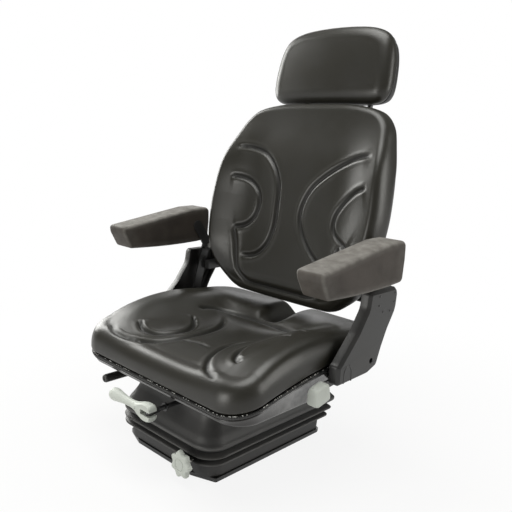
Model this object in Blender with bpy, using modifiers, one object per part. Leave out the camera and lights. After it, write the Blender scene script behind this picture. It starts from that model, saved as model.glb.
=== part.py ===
"""Tractor suspension seat: scissor suspension in a bellows, slide rails, reclining back, folding armrests.

Metres, +Z up. The occupant faces -Y, and the occupant's left is +X. The origin is the centre of the
underside of the lower frame. The seat stands unloaded, with the suspension at the top of its travel.
"""
import bpy
import bmesh
from math import asin, atan2, cos, degrees, hypot, pi, radians, sin, sqrt, tan
from mathutils import Matrix, Vector

# General values
GAP = 0.0005            # between pieces that touch
RUNNING = 0.0004        # radial play of a pin in its hole
SHEET = 0.003           # steel sheet of both suspension frames
WELD_SINK = 0.0005      # how far welded pieces run into each other

# Lower frame
BASE_HALF_WIDTH = 0.146
BASE_HALF_DEPTH = 0.180
BASE_CORNER_X = 0.056
BASE_CORNER_Y = 0.020
BASE_RIM_HEIGHT = 0.008
BASE_RIM_WALL = 0.0025
BASE_BOLT_X = BASE_HALF_WIDTH - 0.0395
BASE_BOLT_Y = BASE_HALF_DEPTH - 0.120
BASE_BOLT_RADIUS = 0.0055
BASE_WINDOW_X = BASE_HALF_WIDTH - 0.094
BASE_WINDOW_HALF_WIDTH = 0.020
BASE_WINDOW_HALF_DEPTH = BASE_HALF_DEPTH - 0.118

# Scissor mechanism
SCISSOR_LENGTH = 2 * BASE_HALF_DEPTH - 0.080
SCISSOR_REAR_Y = BASE_HALF_DEPTH - 0.050
SCISSOR_END_RADIUS = 0.010
SCISSOR_BAR = 0.005
INNER_BAR_X = BASE_HALF_WIDTH - 0.058
OUTER_BAR_X = BASE_HALF_WIDTH - 0.041
CROSS_TUBE_RADIUS = 0.008
PIVOT_RADIUS = 0.005
ROLLER_RADIUS = 0.0105
ROLLER_WIDTH = 0.007
ROLLER_PLAY = 0.001
UPPER_PLATE_Z = 0.128
CENTRE_PIN_RADIUS = 0.0055
CENTRE_HOLE_PLAY = 0.0014
CENTRE_EYE_RADIUS = 0.014
BOSS = 0.0006             # how far a pressed eye stands out of its bar
TRACK_WALL = 0.002
TRACK_LIP = 0.007
TRACK_FRONT = 0.020
TRACK_REAR = 0.034
EAR_WALL = 0.004
EAR_RADIUS = 0.011
UPPER_FRONT_Y = -BASE_HALF_DEPTH + 0.028
UPPER_REAR_Y = BASE_HALF_DEPTH - 0.015

# Springs, damper and adjusters
SPRING_X = BASE_HALF_WIDTH - 0.096
SPRING_Y = -BASE_HALF_DEPTH + 0.094
SPRING_RADIUS = 0.0165
SPRING_WIRE = 0.0021
SPRING_TURNS = 6
SPRING_SEAT_RADIUS = 0.0105
SPRING_SEAT_HEIGHT = 0.005
DAMPER_FRONT_Y = -BASE_HALF_DEPTH + 0.080
DAMPER_REAR_Y = BASE_HALF_DEPTH - 0.095
DAMPER_RADIUS = 0.0115
DAMPER_ROD_RADIUS = 0.0045
DAMPER_BODY_LENGTH = 2 * BASE_HALF_DEPTH - 0.248
DAMPER_EYE_RADIUS = 0.009
DAMPER_FOOT_Z = 0.0185
DAMPER_HEAD_DROP = 0.017
DAMPER_EYE_WIDTH = 0.010
DAMPER_HEAD_PLAY = 0.0052
CRANK_X = 0.033
CRANK_RADIUS = 0.005
CRANK_RISE = 0.0075
CRANK_FRONT_Y = -BASE_HALF_DEPTH - 0.053
CRANK_REAR_Y = -BASE_HALF_DEPTH + 0.105
CRANK_COLLAR_RADIUS = 0.0095
CRANK_COLLAR_Y = -BASE_HALF_DEPTH - 0.023
CRANK_FOLD = 0.012
CRANK_TANG_HALF = 0.0045
CRANK_PIN_RADIUS = 0.003
HANDLE_LENGTH = 0.120
HANDLE_FORK_RADIUS = 0.019
HANDLE_FORK_HALF = 0.010
HANDLE_FORK_DEPTH = 0.014
HANDLE_NECK_RADIUS = 0.0082
HANDLE_TIP_RADIUS = 0.0138
KNOB_X = BASE_HALF_WIDTH - 0.043
KNOB_Z = 0.044
KNOB_RADIUS = 0.029
KNOB_LOBES = 7
KNOB_DEPTH = 0.020
KNOB_FRONT_Y = -BASE_HALF_DEPTH - 0.042
KNOB_SHAFT_RADIUS = 0.005
KNOB_BRACKET_Y = -BASE_HALF_DEPTH + 0.012
KNOB_BRACKET_WALL = 0.004
KNOB_BRACKET_HALF = 0.011

# Bellows
BELLOWS_WALL = 0.002
BELLOWS_CORNERS = (0.030, 0.048)        # radius of the front corners at the neck and at the widest fold
BELLOWS_REAR_CORNER = 0.013
BELLOWS_PROFILE = (                     # height, reach past the base in front and at the sides, reach behind
    (0.0085, -0.003, -0.003), (0.034, -0.002, 0.000), (0.042, 0.012, 0.016), (0.0495, 0.001, 0.010),
    (0.057, 0.013, 0.029), (0.066, 0.002, 0.022), (0.075, 0.012, 0.040), (0.080, 0.013, 0.041),
    (0.098, 0.003, 0.026), (0.124, -0.013, 0.002), (0.147, -0.019, -0.006))

# Slide rails
RAIL_X = BASE_HALF_WIDTH - 0.048
RAIL_HALF_WIDTH = 0.020
RAIL_HEIGHT = 0.014
RAIL_WALL = 0.002
RAIL_LIP = 0.007
RAIL_FRONT_Y = -BASE_HALF_DEPTH + 0.035
RAIL_REAR_Y = BASE_HALF_DEPTH - 0.030
SLIDER_HEAD_RISE = 0.018
SLIDER_NECK = 0.010
SLIDER_LENGTH = 2 * BASE_HALF_DEPTH - 0.130
RAIL_LEVER_X = -BASE_HALF_WIDTH - 0.030
RAIL_LEVER_Z = 0.136
RAIL_LEVER_RADIUS = 0.0045
RAIL_GRIP_RADIUS = 0.0095
RAIL_GRIP_LENGTH = 0.085
RAIL_LEVER_FRONT_Y = -BASE_HALF_DEPTH - 0.032
RAIL_LEVER_PIVOT_Y = 0.020

# Seat pan and cushion, heights counted from the underside of the pan
SEAT_HALF_WIDTH = 0.260
SEAT_FRONT_Y = -0.218
SEAT_REAR_Y = 0.262
SEAT_CORNER = 0.062
PAN_WALL = 0.0025
PAN_DRAFT = 0.006
TRIM_HEIGHT = 0.007
TRIM_WIDTH = 0.006
SEAM_RISE = ((-0.230, 0.013), (-0.150, 0.031), (-0.060, 0.048), (0.040, 0.060), (0.150, 0.066), (0.270, 0.062))
SIDE_CREST = ((-0.225, 0.058), (-0.185, 0.083), (-0.136, 0.108), (-0.064, 0.126), (0.013, 0.131),
              (0.126, 0.121), (0.200, 0.114), (0.262, 0.098))
MIDDLE_CREST = ((-0.225, 0.055), (-0.190, 0.070), (-0.130, 0.083), (-0.050, 0.086), (0.060, 0.082),
                (0.130, 0.084), (0.200, 0.100), (0.262, 0.088))
CREST_X = SEAT_HALF_WIDTH - 0.055
SEAT_BULGE = 0.007
SEAT_EDGE_RISE = 0.016      # least height of the cushion's top above its seam
NOTCH_HALF_WIDTH = 0.030
NOTCH_FRONT_Y = 0.135
NOTCH_DEPTH = 0.050

# Back, in its own plane: height along the plane and distance in front of it
BACK_TILT = radians(11.7)
BACK_FOOT_Y = 0.149
BACK_FOOT_RISE = 0.136
BACK_OUTLINE = ((0.000, -0.110), (0.018, -0.082), (0.056, -0.035), (0.110, -0.010), (0.172, 0.000), (0.243, 0.004),
                (0.335, -0.010), (0.396, -0.033), (0.440, -0.060), (0.474, -0.098), (0.4915, -0.150))
BACK_SEAM = ((0.000, 0.050), (0.060, 0.042), (0.170, 0.034), (0.270, 0.034), (0.360, 0.055), (0.440, 0.078),
             (0.4915, 0.084))
BACK_BOLSTER = 0.028
BACK_INSIDE = 0.047
BACK_SEAM_INSET = 0.016
SHELL_REAR = ((0.000, 0.094), (0.070, 0.100), (0.200, 0.108), (0.340, 0.116), (0.440, 0.1185), (0.4915, 0.1180))
SHELL_WALL = 0.003
SHELL_RIM = 0.0028          # how far the shell's edge lies behind the cushion's
SHELL_INSET = 0.018
SHELL_SIDE = 0.010          # depth of the shell's straight edge
SHELL_ROUND = 0.055         # how far the shell's rounding reaches in

# Back frame and recliner
FRAME_TUBE_RADIUS = 0.009
FRAME_LOOP_X = 0.141
FRAME_LOOP_BEHIND = 0.066
FRAME_LOOP_RADIUS = 0.008
FRAME_LOOP_FOOT = 0.052     # ends of the loop, counted up the back's plane
FRAME_LOOP_TOP = 0.380
FRAME_LOOP_BEND = 0.050
FRAME_BAR_UP = 0.050        # the cross bar's place on the back's plane
FRAME_BAR_BEHIND = 0.063
GUSSET_WIDTH = 0.016
GUSSET_HALF_HEIGHT = 0.012
GUSSET_FRONT = 0.004        # how far the gusset starts before the armrest's axis
SIDE_ARM_X = SEAT_HALF_WIDTH + 0.0185
SIDE_ARM_WALL = 0.005
SIDE_ARM_HEAD_RADIUS = 0.0125
RECLINE_Y = 0.134
RECLINE_RISE = 0.069
RECLINE_BOLT_RADIUS = 0.005
RECLINE_EYE_RADIUS = 0.012
BRACKET_X = SEAT_HALF_WIDTH + 0.0115
BRACKET_WALL = 0.004
BRACKET_FRONT_Y = 0.036
BRACKET_FOOT_WALL = 0.0035
BRACKET_RISE = 0.022        # how far the bracket stands above the recliner's axis
BRACKET_HEAD = 0.024        # half its length at the top
BRACKET_REAR = 0.035
RECLINE_BOLT_HEADS = (0.0035, 0.006)
BRACKET_FOOT_X = SEAT_HALF_WIDTH - 0.100
LEVER_WALL = 0.0035
LEVER_Y = 0.085
LEVER_RISE = 0.043
LEVER_RADII = (0.0095, 0.008)
LEVER_PIN_RADIUS = 0.004
LEVER_PIN_HEAD_RADIUS = 0.006
LEVER_PIN_HEAD = 0.002
LEVER_END = 0.006           # how far the bar ends behind the paddle's middle
PADDLE_LENGTH = 0.050
PADDLE_HEIGHT = 0.038
PADDLE_WIDTH = 0.028
PADDLE_Y = -0.024
PADDLE_RISE = 0.030
PADDLE_SLOPE = radians(12)

# Side covers
COVER_X = SEAT_HALF_WIDTH + 0.0165
COVER_WIDTH = 0.024
COVER_WALL = 0.0025
COVER_EDGE = 0.0024
COVER_HOLE_RADIUS = 0.006
COVER_PLAY = 0.0015
COVER_REACH = 0.060
COVER_SLOT_PLAY = 0.0035
COVER_SLOT_DROP = 0.026
COVER_SLOT_RISE = 0.024
GUSSET_DEPTH_IN_COVER = 0.004

# Armrests
ARM_PIVOT_Y = 0.176
ARM_PIVOT_RISE = 0.226
ARM_PAD_FIX_Y = 0.135
ARM_PAD_FIX_RISE = 0.284
ARM_PLATE_X = SEAT_HALF_WIDTH + 0.0085
ARM_PLATE_WALL = 0.005
ARM_PLATE_RADIUS = 0.0135
ARM_BOLT_RADIUS = 0.004
ARM_STUD_RADIUS = 0.006
PAD_X = SEAT_HALF_WIDTH + 0.018
PAD_WIDTH = 0.058
PAD_FRONT_Y = -0.098
PAD_REAR_Y = 0.179
PAD_BOTTOM_RISE = 0.241
PAD_FRONT_HEIGHT = 0.053
PAD_REAR_HEIGHT = 0.086

# Headrest
POST_X = 0.105
POST_BEHIND = 0.100
POST_RADIUS = 0.0065
POST_FOOT = 0.365
GUIDE_WALL = 0.0025
GUIDE_TOP = 0.462
GUIDE_LENGTH = 0.125
HEADREST_FOOT = 0.496
HEADREST_HEIGHT = 0.180
HEADREST_HALF_WIDTH = 0.176
HEADREST_BEHIND = 0.043
HEADREST_DEPTH = 0.040
HEADREST_SHELL = 0.040
HEADREST_TRAVEL = 0.060

# Places that follow from the values above
LOWER_PIVOT_Z = SHEET + ROLLER_PLAY + ROLLER_RADIUS
UPPER_PIVOT_Z = UPPER_PLATE_Z - ROLLER_PLAY - ROLLER_RADIUS
SCISSOR_RISE = UPPER_PIVOT_Z - LOWER_PIVOT_Z
SCISSOR_RUN = sqrt(SCISSOR_LENGTH ** 2 - SCISSOR_RISE ** 2)
SCISSOR_FRONT_Y = SCISSOR_REAR_Y - SCISSOR_RUN
UPPER_TOP_Z = UPPER_PLATE_Z + SHEET
UPPER_HALF_WIDTH = OUTER_BAR_X + SCISSOR_BAR + ROLLER_WIDTH + 0.005
RAIL_Z = UPPER_TOP_Z + GAP
SLIDER_TOP_Z = RAIL_Z + RAIL_HEIGHT + SLIDER_HEAD_RISE + RAIL_WALL
RAIL_LEVER_LIFT = RAIL_Z + RAIL_HEIGHT + RAIL_LEVER_RADIUS + 0.0045
SEAT_Z = SLIDER_TOP_Z + GAP
RECLINE_Z = SEAT_Z + RECLINE_RISE
ARM_PIVOT_Z = SEAT_Z + ARM_PIVOT_RISE
COLOURS = {
    "black_vinyl": ((0.020, 0.019, 0.018), 0.42, 0.0),
    "black_plastic": ((0.012, 0.012, 0.013), 0.38, 0.0),
    "gloss_black": ((0.016, 0.015, 0.015), 0.16, 0.0),
    "rubber": ((0.018, 0.018, 0.019), 0.55, 0.0),
    "foam_skin": ((0.034, 0.029, 0.026), 0.62, 0.0),
    "grey_plastic": ((0.560, 0.610, 0.570), 0.50, 0.0),
    "painted_steel": ((0.015, 0.015, 0.016), 0.35, 0.3),
    "zinc_steel": ((0.520, 0.520, 0.500), 0.32, 1.0),
    "nylon": ((0.700, 0.690, 0.640), 0.45, 0.0),
}
SEGMENTS = 12
SEAT_SIDE_POINTS = 5
SEAT_CORNER_POINTS = 4
BACK_STEPS = 12
BELLOWS_CORNER_STEPS = 4


# Scene set-up
for old in list(bpy.data.objects):
    bpy.data.objects.remove(old, do_unlink=True)
SEAT_PARTS = bpy.data.collections.new("suspension_seat")
CUTTERS = bpy.data.collections.new("cutters")
bpy.context.scene.collection.children.link(SEAT_PARTS)
bpy.context.scene.collection.children.link(CUTTERS)


def colour(kind):
    """Return the material of one kind, made the first time it is asked for."""
    if kind in bpy.data.materials:
        return bpy.data.materials[kind]
    made = bpy.data.materials.new(kind)
    made.use_nodes = True
    shader = made.node_tree.nodes["Principled BSDF"]
    base, rough, metal = COLOURS[kind]
    shader.inputs["Base Color"].default_value = (*base, 1.0)
    shader.inputs["Roughness"].default_value = rough
    shader.inputs["Metallic"].default_value = metal
    return made


def add(name, mesh, kind=None):
    """Link a mesh as a part of the seat, or as a working shape when it has no material."""
    made = bpy.data.objects.new(name, mesh)
    if kind:
        SEAT_PARTS.objects.link(made)
        mesh.materials.clear()
        mesh.materials.append(colour(kind))
    else:
        CUTTERS.objects.link(made)
        made.hide_render = True
        made.display_type = "WIRE"
    return made


def smooth(part, angle=32):
    """Shade a part smooth, with its corners left sharp."""
    part.data.shade_smooth()
    part.data.set_sharp_from_angle(angle=radians(angle))
    return part


def from_bmesh(name, shape, kind=None):
    """Turn a bmesh into an object."""
    mesh = bpy.data.meshes.new(name)
    shape.to_mesh(mesh)
    shape.free()
    return add(name, mesh, kind)


def block(name, low, high, kind=None):
    """A box between two corners."""
    low, high = Vector(low), Vector(high)
    shape = bmesh.new()
    bmesh.ops.create_cube(shape, size=1.0)
    size = high - low
    place = Matrix.Translation((low + high) / 2) @ Matrix.Diagonal((abs(size.x), abs(size.y), abs(size.z), 1.0))
    bmesh.ops.transform(shape, matrix=place, verts=shape.verts)
    return from_bmesh(name, shape, kind)


def rod(name, start, end, radius, kind=None, end_radius=None, segments=SEGMENTS):
    """A round bar, or a cone, from start to end."""
    start, end = Vector(start), Vector(end)
    run = end - start
    shape = bmesh.new()
    bmesh.ops.create_cone(shape, cap_ends=True, segments=segments, radius1=radius,
                          radius2=radius if end_radius is None else end_radius, depth=run.length)
    turn = run.to_track_quat("Z", "Y").to_matrix().to_4x4()
    bmesh.ops.transform(shape, matrix=Matrix.Translation((start + end) / 2) @ turn, verts=shape.verts)
    return smooth(from_bmesh(name, shape, kind))


def evaluated_mesh(part, merge=0.00005):
    """The mesh of an object with its modifiers, in world space, with loose caps welded."""
    bpy.context.view_layer.update()
    source = part.evaluated_get(bpy.context.evaluated_depsgraph_get())
    mesh = bpy.data.meshes.new_from_object(source)
    mesh.transform(part.matrix_world)
    shape = bmesh.new()
    shape.from_mesh(mesh)
    bmesh.ops.remove_doubles(shape, verts=shape.verts, dist=merge)
    shape.to_mesh(mesh)
    shape.free()
    return mesh


def plate(name, outline, start, end, kind=None, across="X"):
    """A flat outline as thick as start to end, standing across the X, Y or Z axis."""
    curve = bpy.data.curves.new(name, "CURVE")
    curve.dimensions = "2D"
    curve.fill_mode = "BOTH"
    curve.extrude = abs(end - start) / 2
    line = curve.splines.new("POLY")
    line.points.add(len(outline) - 1)
    for point, (u, v) in zip(line.points, outline):
        point.co = (u, v, 0.0, 1.0)
    line.use_cyclic_u = True
    sketch = bpy.data.objects.new(name, curve)
    CUTTERS.objects.link(sketch)
    middle = (start + end) / 2
    axes = {"X": ((0, 0, 1), (1, 0, 0), (0, 1, 0)), "Y": ((1, 0, 0), (0, 0, -1), (0, 1, 0)),
            "Z": ((1, 0, 0), (0, 1, 0), (0, 0, 1))}[across]
    offset = {"X": (middle, 0, 0), "Y": (0, middle, 0), "Z": (0, 0, middle)}[across]
    sketch.matrix_world = Matrix.Translation(offset) @ Matrix(axes).to_4x4()
    mesh = evaluated_mesh(sketch)
    bpy.data.objects.remove(sketch, do_unlink=True)
    return smooth(add(name, mesh, kind))


def bent_tube(name, points, radius, kind=None, cyclic=False, resolution=2):
    """A round tube or wire along a line of points."""
    curve = bpy.data.curves.new(name, "CURVE")
    curve.dimensions = "3D"
    curve.bevel_depth = radius
    curve.bevel_resolution = resolution
    curve.use_fill_caps = True
    line = curve.splines.new("POLY")
    line.points.add(len(points) - 1)
    for point, place in zip(line.points, points):
        point.co = (*place, 1.0)
    line.use_cyclic_u = cyclic
    sketch = bpy.data.objects.new(name, curve)
    CUTTERS.objects.link(sketch)
    mesh = evaluated_mesh(sketch)
    bpy.data.objects.remove(sketch, do_unlink=True)
    return smooth(add(name, mesh, kind), 50)


def turned(name, profile, place, axis, kind=None, steps=SEGMENTS):
    """A turned piece: profile of (radius, distance along the axis), from the far end back to the near one."""
    mesh = bpy.data.meshes.new(name)
    points = [(radius, 0.0, along) for radius, along in profile]
    mesh.from_pydata(points, [(i, i + 1) for i in range(len(points) - 1)], [])
    sketch = bpy.data.objects.new(name, mesh)
    CUTTERS.objects.link(sketch)
    screw = sketch.modifiers.new("turn", "SCREW")
    screw.steps = screw.render_steps = steps
    screw.use_merge_vertices = True
    screw.merge_threshold = 0.00005
    sketch.matrix_world = Matrix.Translation(place) @ Vector(axis).to_track_quat("Z", "Y").to_matrix().to_4x4()
    result = evaluated_mesh(sketch)
    bpy.data.objects.remove(sketch, do_unlink=True)
    return smooth(add(name, result, kind))


def ring_profile(outer, inner, start, end):
    """The closed profile of a turned ring."""
    return [(outer, end), (outer, start), (inner, start), (inner, end), (outer, end)]


def loft(name, rings, kind=None, cap_first=True, cap_last=True):
    """A skin through rings of points that all have the same count, with its faces turned outwards."""
    shape = bmesh.new()
    rows = [[shape.verts.new(point) for point in ring] for ring in rings]
    count = len(rows[0])
    for low, high in zip(rows, rows[1:]):
        for i in range(count):
            j = (i + 1) % count
            shape.faces.new((low[i], low[j], high[j], high[i]))
    if cap_first:
        shape.faces.new(list(reversed(rows[0])))
    if cap_last:
        shape.faces.new(rows[-1])
    bmesh.ops.recalc_face_normals(shape, faces=shape.faces)
    return smooth(from_bmesh(name, shape, kind), 40)


def boolean(part, tool, operation="DIFFERENCE", solver="EXACT"):
    """Cut a working shape out of a part, or weld it on."""
    step = part.modifiers.new(operation.lower(), "BOOLEAN")
    step.operation = operation
    step.solver = solver
    step.object = tool
    return part


def cut(part, *tools):
    """Cut each working shape out of a part."""
    for tool in tools:
        boolean(part, tool)
    return part


def weld(part, *tools):
    """Weld each working shape onto a part."""
    for tool in tools:
        boolean(part, tool, "UNION")
    return part


def bevel(part, width, segments=2, angle=35):
    """Round a part's sharp edges."""
    step = part.modifiers.new("round", "BEVEL")
    step.width = width
    step.segments = segments
    step.limit_method = "ANGLE"
    step.angle_limit = radians(angle)
    return part


def thicken(part, wall):
    """Give an open skin its wall, inwards."""
    step = part.modifiers.new("wall", "SOLIDIFY")
    step.thickness = wall
    step.offset = -1.0
    step.use_even_offset = True
    return part


def rounded(corners, steps=3):
    """An outline through corners of (u, v, radius), each rounded by its radius."""
    outline = []
    count = len(corners)
    for i, (u, v, radius) in enumerate(corners):
        here = Vector((u, v))
        before = Vector(corners[i - 1][:2]) - here
        after = Vector(corners[(i + 1) % count][:2]) - here
        if radius <= 0:
            outline.append((u, v))
            continue
        half = before.angle(after) / 2
        reach = min(radius / tan(half), 0.49 * before.length, 0.49 * after.length)
        radius = reach * tan(half)
        start = here + before.normalized() * reach
        end = here + after.normalized() * reach
        centre = here + (before.normalized() + after.normalized()).normalized() * (radius / sin(half))
        first = atan2(start.y - centre.y, start.x - centre.x)
        turn = atan2(end.y - centre.y, end.x - centre.x) - first
        turn = (turn + pi) % (2 * pi) - pi
        for k in range(steps + 1):
            angle = first + turn * k / steps
            outline.append((centre.x + radius * cos(angle), centre.y + radius * sin(angle)))
    return outline


def stadium(start, end, start_radius, end_radius, steps=5):
    """The outline of a flat link with a round eye at each end."""
    along = atan2(end[1] - start[1], end[0] - start[0])
    length = hypot(end[0] - start[0], end[1] - start[1])
    lean = asin((start_radius - end_radius) / length)
    outline = []
    for centre, radius, first, last in ((end, end_radius, -pi / 2 + lean, pi / 2 - lean),
                                        (start, start_radius, pi / 2 - lean, 3 * pi / 2 + lean)):
        for k in range(steps + 1):
            angle = along + first + (last - first) * k / steps
            outline.append((centre[0] + radius * cos(angle), centre[1] + radius * sin(angle)))
    return outline


def along_table(table, place):
    """The smooth value of a table of (place, value) at one place."""
    if place <= table[0][0]:
        return table[0][1]
    for (a, low), (b, high) in zip(table, table[1:]):
        if place <= b:
            share = (place - a) / (b - a)
            return low + (high - low) * share * share * (3 - 2 * share)
    return table[-1][1]


def box_ring(half_width, front, rear, corner, side_points=0, corner_points=6):
    """A ring of (x, y) round a rounded rectangle, counter-clockwise from the front right corner."""
    ring = []
    corners = ((half_width - corner, front + corner, -pi / 2), (half_width - corner, rear - corner, 0.0),
               (-half_width + corner, rear - corner, pi / 2), (-half_width + corner, front + corner, pi))
    for index, (x, y, first) in enumerate(corners):
        for k in range(corner_points + 1):
            angle = first + pi / 2 * k / corner_points
            ring.append((x + corner * cos(angle), y + corner * sin(angle)))
        ahead_x, ahead_y, turn = corners[(index + 1) % 4]
        start = ring[-1]
        end = (ahead_x + corner * cos(turn), ahead_y + corner * sin(turn))
        for k in range(1, side_points + 1):
            share = k / (side_points + 1)
            ring.append((start[0] + (end[0] - start[0]) * share, start[1] + (end[1] - start[1]) * share))
    return ring


def joint(name, place, parent=None):
    """An empty on a joint's axis, which carries the pieces that move with it."""
    made = bpy.data.objects.new(name, None)
    made.empty_display_size = 0.03
    SEAT_PARTS.objects.link(made)
    made.location = place
    if parent:
        made.parent = parent
        bpy.context.view_layer.update()
        made.matrix_parent_inverse = parent.matrix_world.inverted()
    bpy.context.view_layer.update()
    return made


def carry(parent, *pieces):
    """Hang pieces on a joint's empty without moving them."""
    for piece in pieces:
        piece.parent = parent
        piece.matrix_parent_inverse = parent.matrix_world.inverted()
    return pieces


# Suspension

def base_outline(inset):
    """The outline of the lower frame, with its two front corners cut off."""
    x = BASE_HALF_WIDTH - inset
    y = BASE_HALF_DEPTH - inset
    return rounded([(x, -y + BASE_CORNER_Y, 0.004), (x, y, 0.012), (-x, y, 0.012), (-x, -y + BASE_CORNER_Y, 0.004),
                    (-x + BASE_CORNER_X, -y, 0.004), (x - BASE_CORNER_X, -y, 0.004)], 2)


def track_outline(side, web_x, open_x, low, high, lip_low):
    """The section of a roller track: a web and one lip, joined to a frame's plate on the other side."""
    web = side * web_x
    inside = side * (web_x - TRACK_WALL)
    lip = side * open_x
    if lip_low:
        return [(web, high), (web, low), (lip, low), (lip, low + TRACK_WALL), (inside, low + TRACK_WALL),
                (inside, high)]
    return [(web, low), (web, high), (lip, high), (lip, high - TRACK_WALL), (inside, high - TRACK_WALL),
            (inside, low)]


def ear(side, x, y, z, edge_z):
    """A frame's pivot ear, from its round eye to the edge that is welded to the plate."""
    steps = 6
    up = 1 if edge_z > z else -1
    arc = [(y + EAR_RADIUS * cos(pi * k / steps), z - up * EAR_RADIUS * sin(pi * k / steps)) for k in range(steps + 1)]
    outline = arc + [(y - EAR_RADIUS, edge_z), (y + EAR_RADIUS, edge_z)]
    return plate("ear", outline, side * x, side * (x + EAR_WALL))


def lower_frame():
    """The pressed plate at the bottom with its roller tracks, pivot ears and knob bracket."""
    frame = plate("lower_frame", base_outline(0), 0, BASE_RIM_HEIGHT, "painted_steel", "Z")
    cut(frame, plate("tray", base_outline(BASE_RIM_WALL), SHEET, BASE_RIM_HEIGHT * 2, across="Z"))
    ear_x = OUTER_BAR_X + SCISSOR_BAR + 2 * GAP
    for side in (1, -1):
        track = plate("track", track_outline(side, INNER_BAR_X + SCISSOR_BAR + ROLLER_WIDTH + 0.0045,
                                             INNER_BAR_X + SCISSOR_BAR + 0.003, SHEET - WELD_SINK,
                                             SHEET + 2 * (ROLLER_RADIUS + ROLLER_PLAY) + TRACK_WALL, False),
                      SCISSOR_FRONT_Y - TRACK_REAR, SCISSOR_FRONT_Y + TRACK_FRONT, across="Y")
        weld(frame, track, ear(side, ear_x, SCISSOR_REAR_Y, LOWER_PIVOT_Z, SHEET - WELD_SINK))
    bracket = plate("knob_tab", rounded([(KNOB_X - KNOB_BRACKET_HALF, SHEET - WELD_SINK, 0),
                                         (KNOB_X + KNOB_BRACKET_HALF, SHEET - WELD_SINK, 0),
                                         (KNOB_X + KNOB_BRACKET_HALF, KNOB_Z + 0.010, 0.008),
                                         (KNOB_X - KNOB_BRACKET_HALF, KNOB_Z + 0.010, 0.008)]),
                    KNOB_BRACKET_Y - KNOB_BRACKET_WALL, KNOB_BRACKET_Y, across="Y")
    foot = DAMPER_EYE_WIDTH / 2 + GAP
    weld(frame, bracket)
    for side in (1, -1):
        seat = rod("spring_seat", (side * SPRING_X, SPRING_Y, SHEET - WELD_SINK),
                   (side * SPRING_X, SPRING_Y, SHEET + SPRING_SEAT_HEIGHT), SPRING_SEAT_RADIUS)
        lug = block("damper_lug", (side * foot, DAMPER_FRONT_Y - 0.011, SHEET - WELD_SINK),
                    (side * (foot + EAR_WALL), DAMPER_FRONT_Y + 0.011, DAMPER_FOOT_Z + 0.009))
        weld(frame, lug, seat)
    cut(frame, rod("knob_hole", (KNOB_X, KNOB_BRACKET_Y - 0.02, KNOB_Z), (KNOB_X, KNOB_BRACKET_Y + 0.01, KNOB_Z),
                   KNOB_SHAFT_RADIUS + RUNNING),
        rod("damper_hole", (-0.03, DAMPER_FRONT_Y, DAMPER_FOOT_Z), (0.03, DAMPER_FRONT_Y, DAMPER_FOOT_Z),
            PIVOT_RADIUS + RUNNING))
    for side in (1, -1):
        cut(frame, rod("ear_hole", (side * (ear_x - 0.01), SCISSOR_REAR_Y, LOWER_PIVOT_Z),
                       (side * (ear_x + 0.01), SCISSOR_REAR_Y, LOWER_PIVOT_Z), PIVOT_RADIUS + RUNNING),
            plate("window", rounded([(side * BASE_WINDOW_X - BASE_WINDOW_HALF_WIDTH, -BASE_WINDOW_HALF_DEPTH, 0.012),
                                     (side * BASE_WINDOW_X + BASE_WINDOW_HALF_WIDTH, -BASE_WINDOW_HALF_DEPTH, 0.012),
                                     (side * BASE_WINDOW_X + BASE_WINDOW_HALF_WIDTH, BASE_WINDOW_HALF_DEPTH, 0.012),
                                     (side * BASE_WINDOW_X - BASE_WINDOW_HALF_WIDTH, BASE_WINDOW_HALF_DEPTH, 0.012)]),
                  -0.01, 0.01, across="Z"))
        for front in (1, -1):
            cut(frame, rod("bolt_hole", (side * BASE_BOLT_X, front * BASE_BOLT_Y, -0.01),
                           (side * BASE_BOLT_X, front * BASE_BOLT_Y, 0.01), BASE_BOLT_RADIUS))
    return frame


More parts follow.
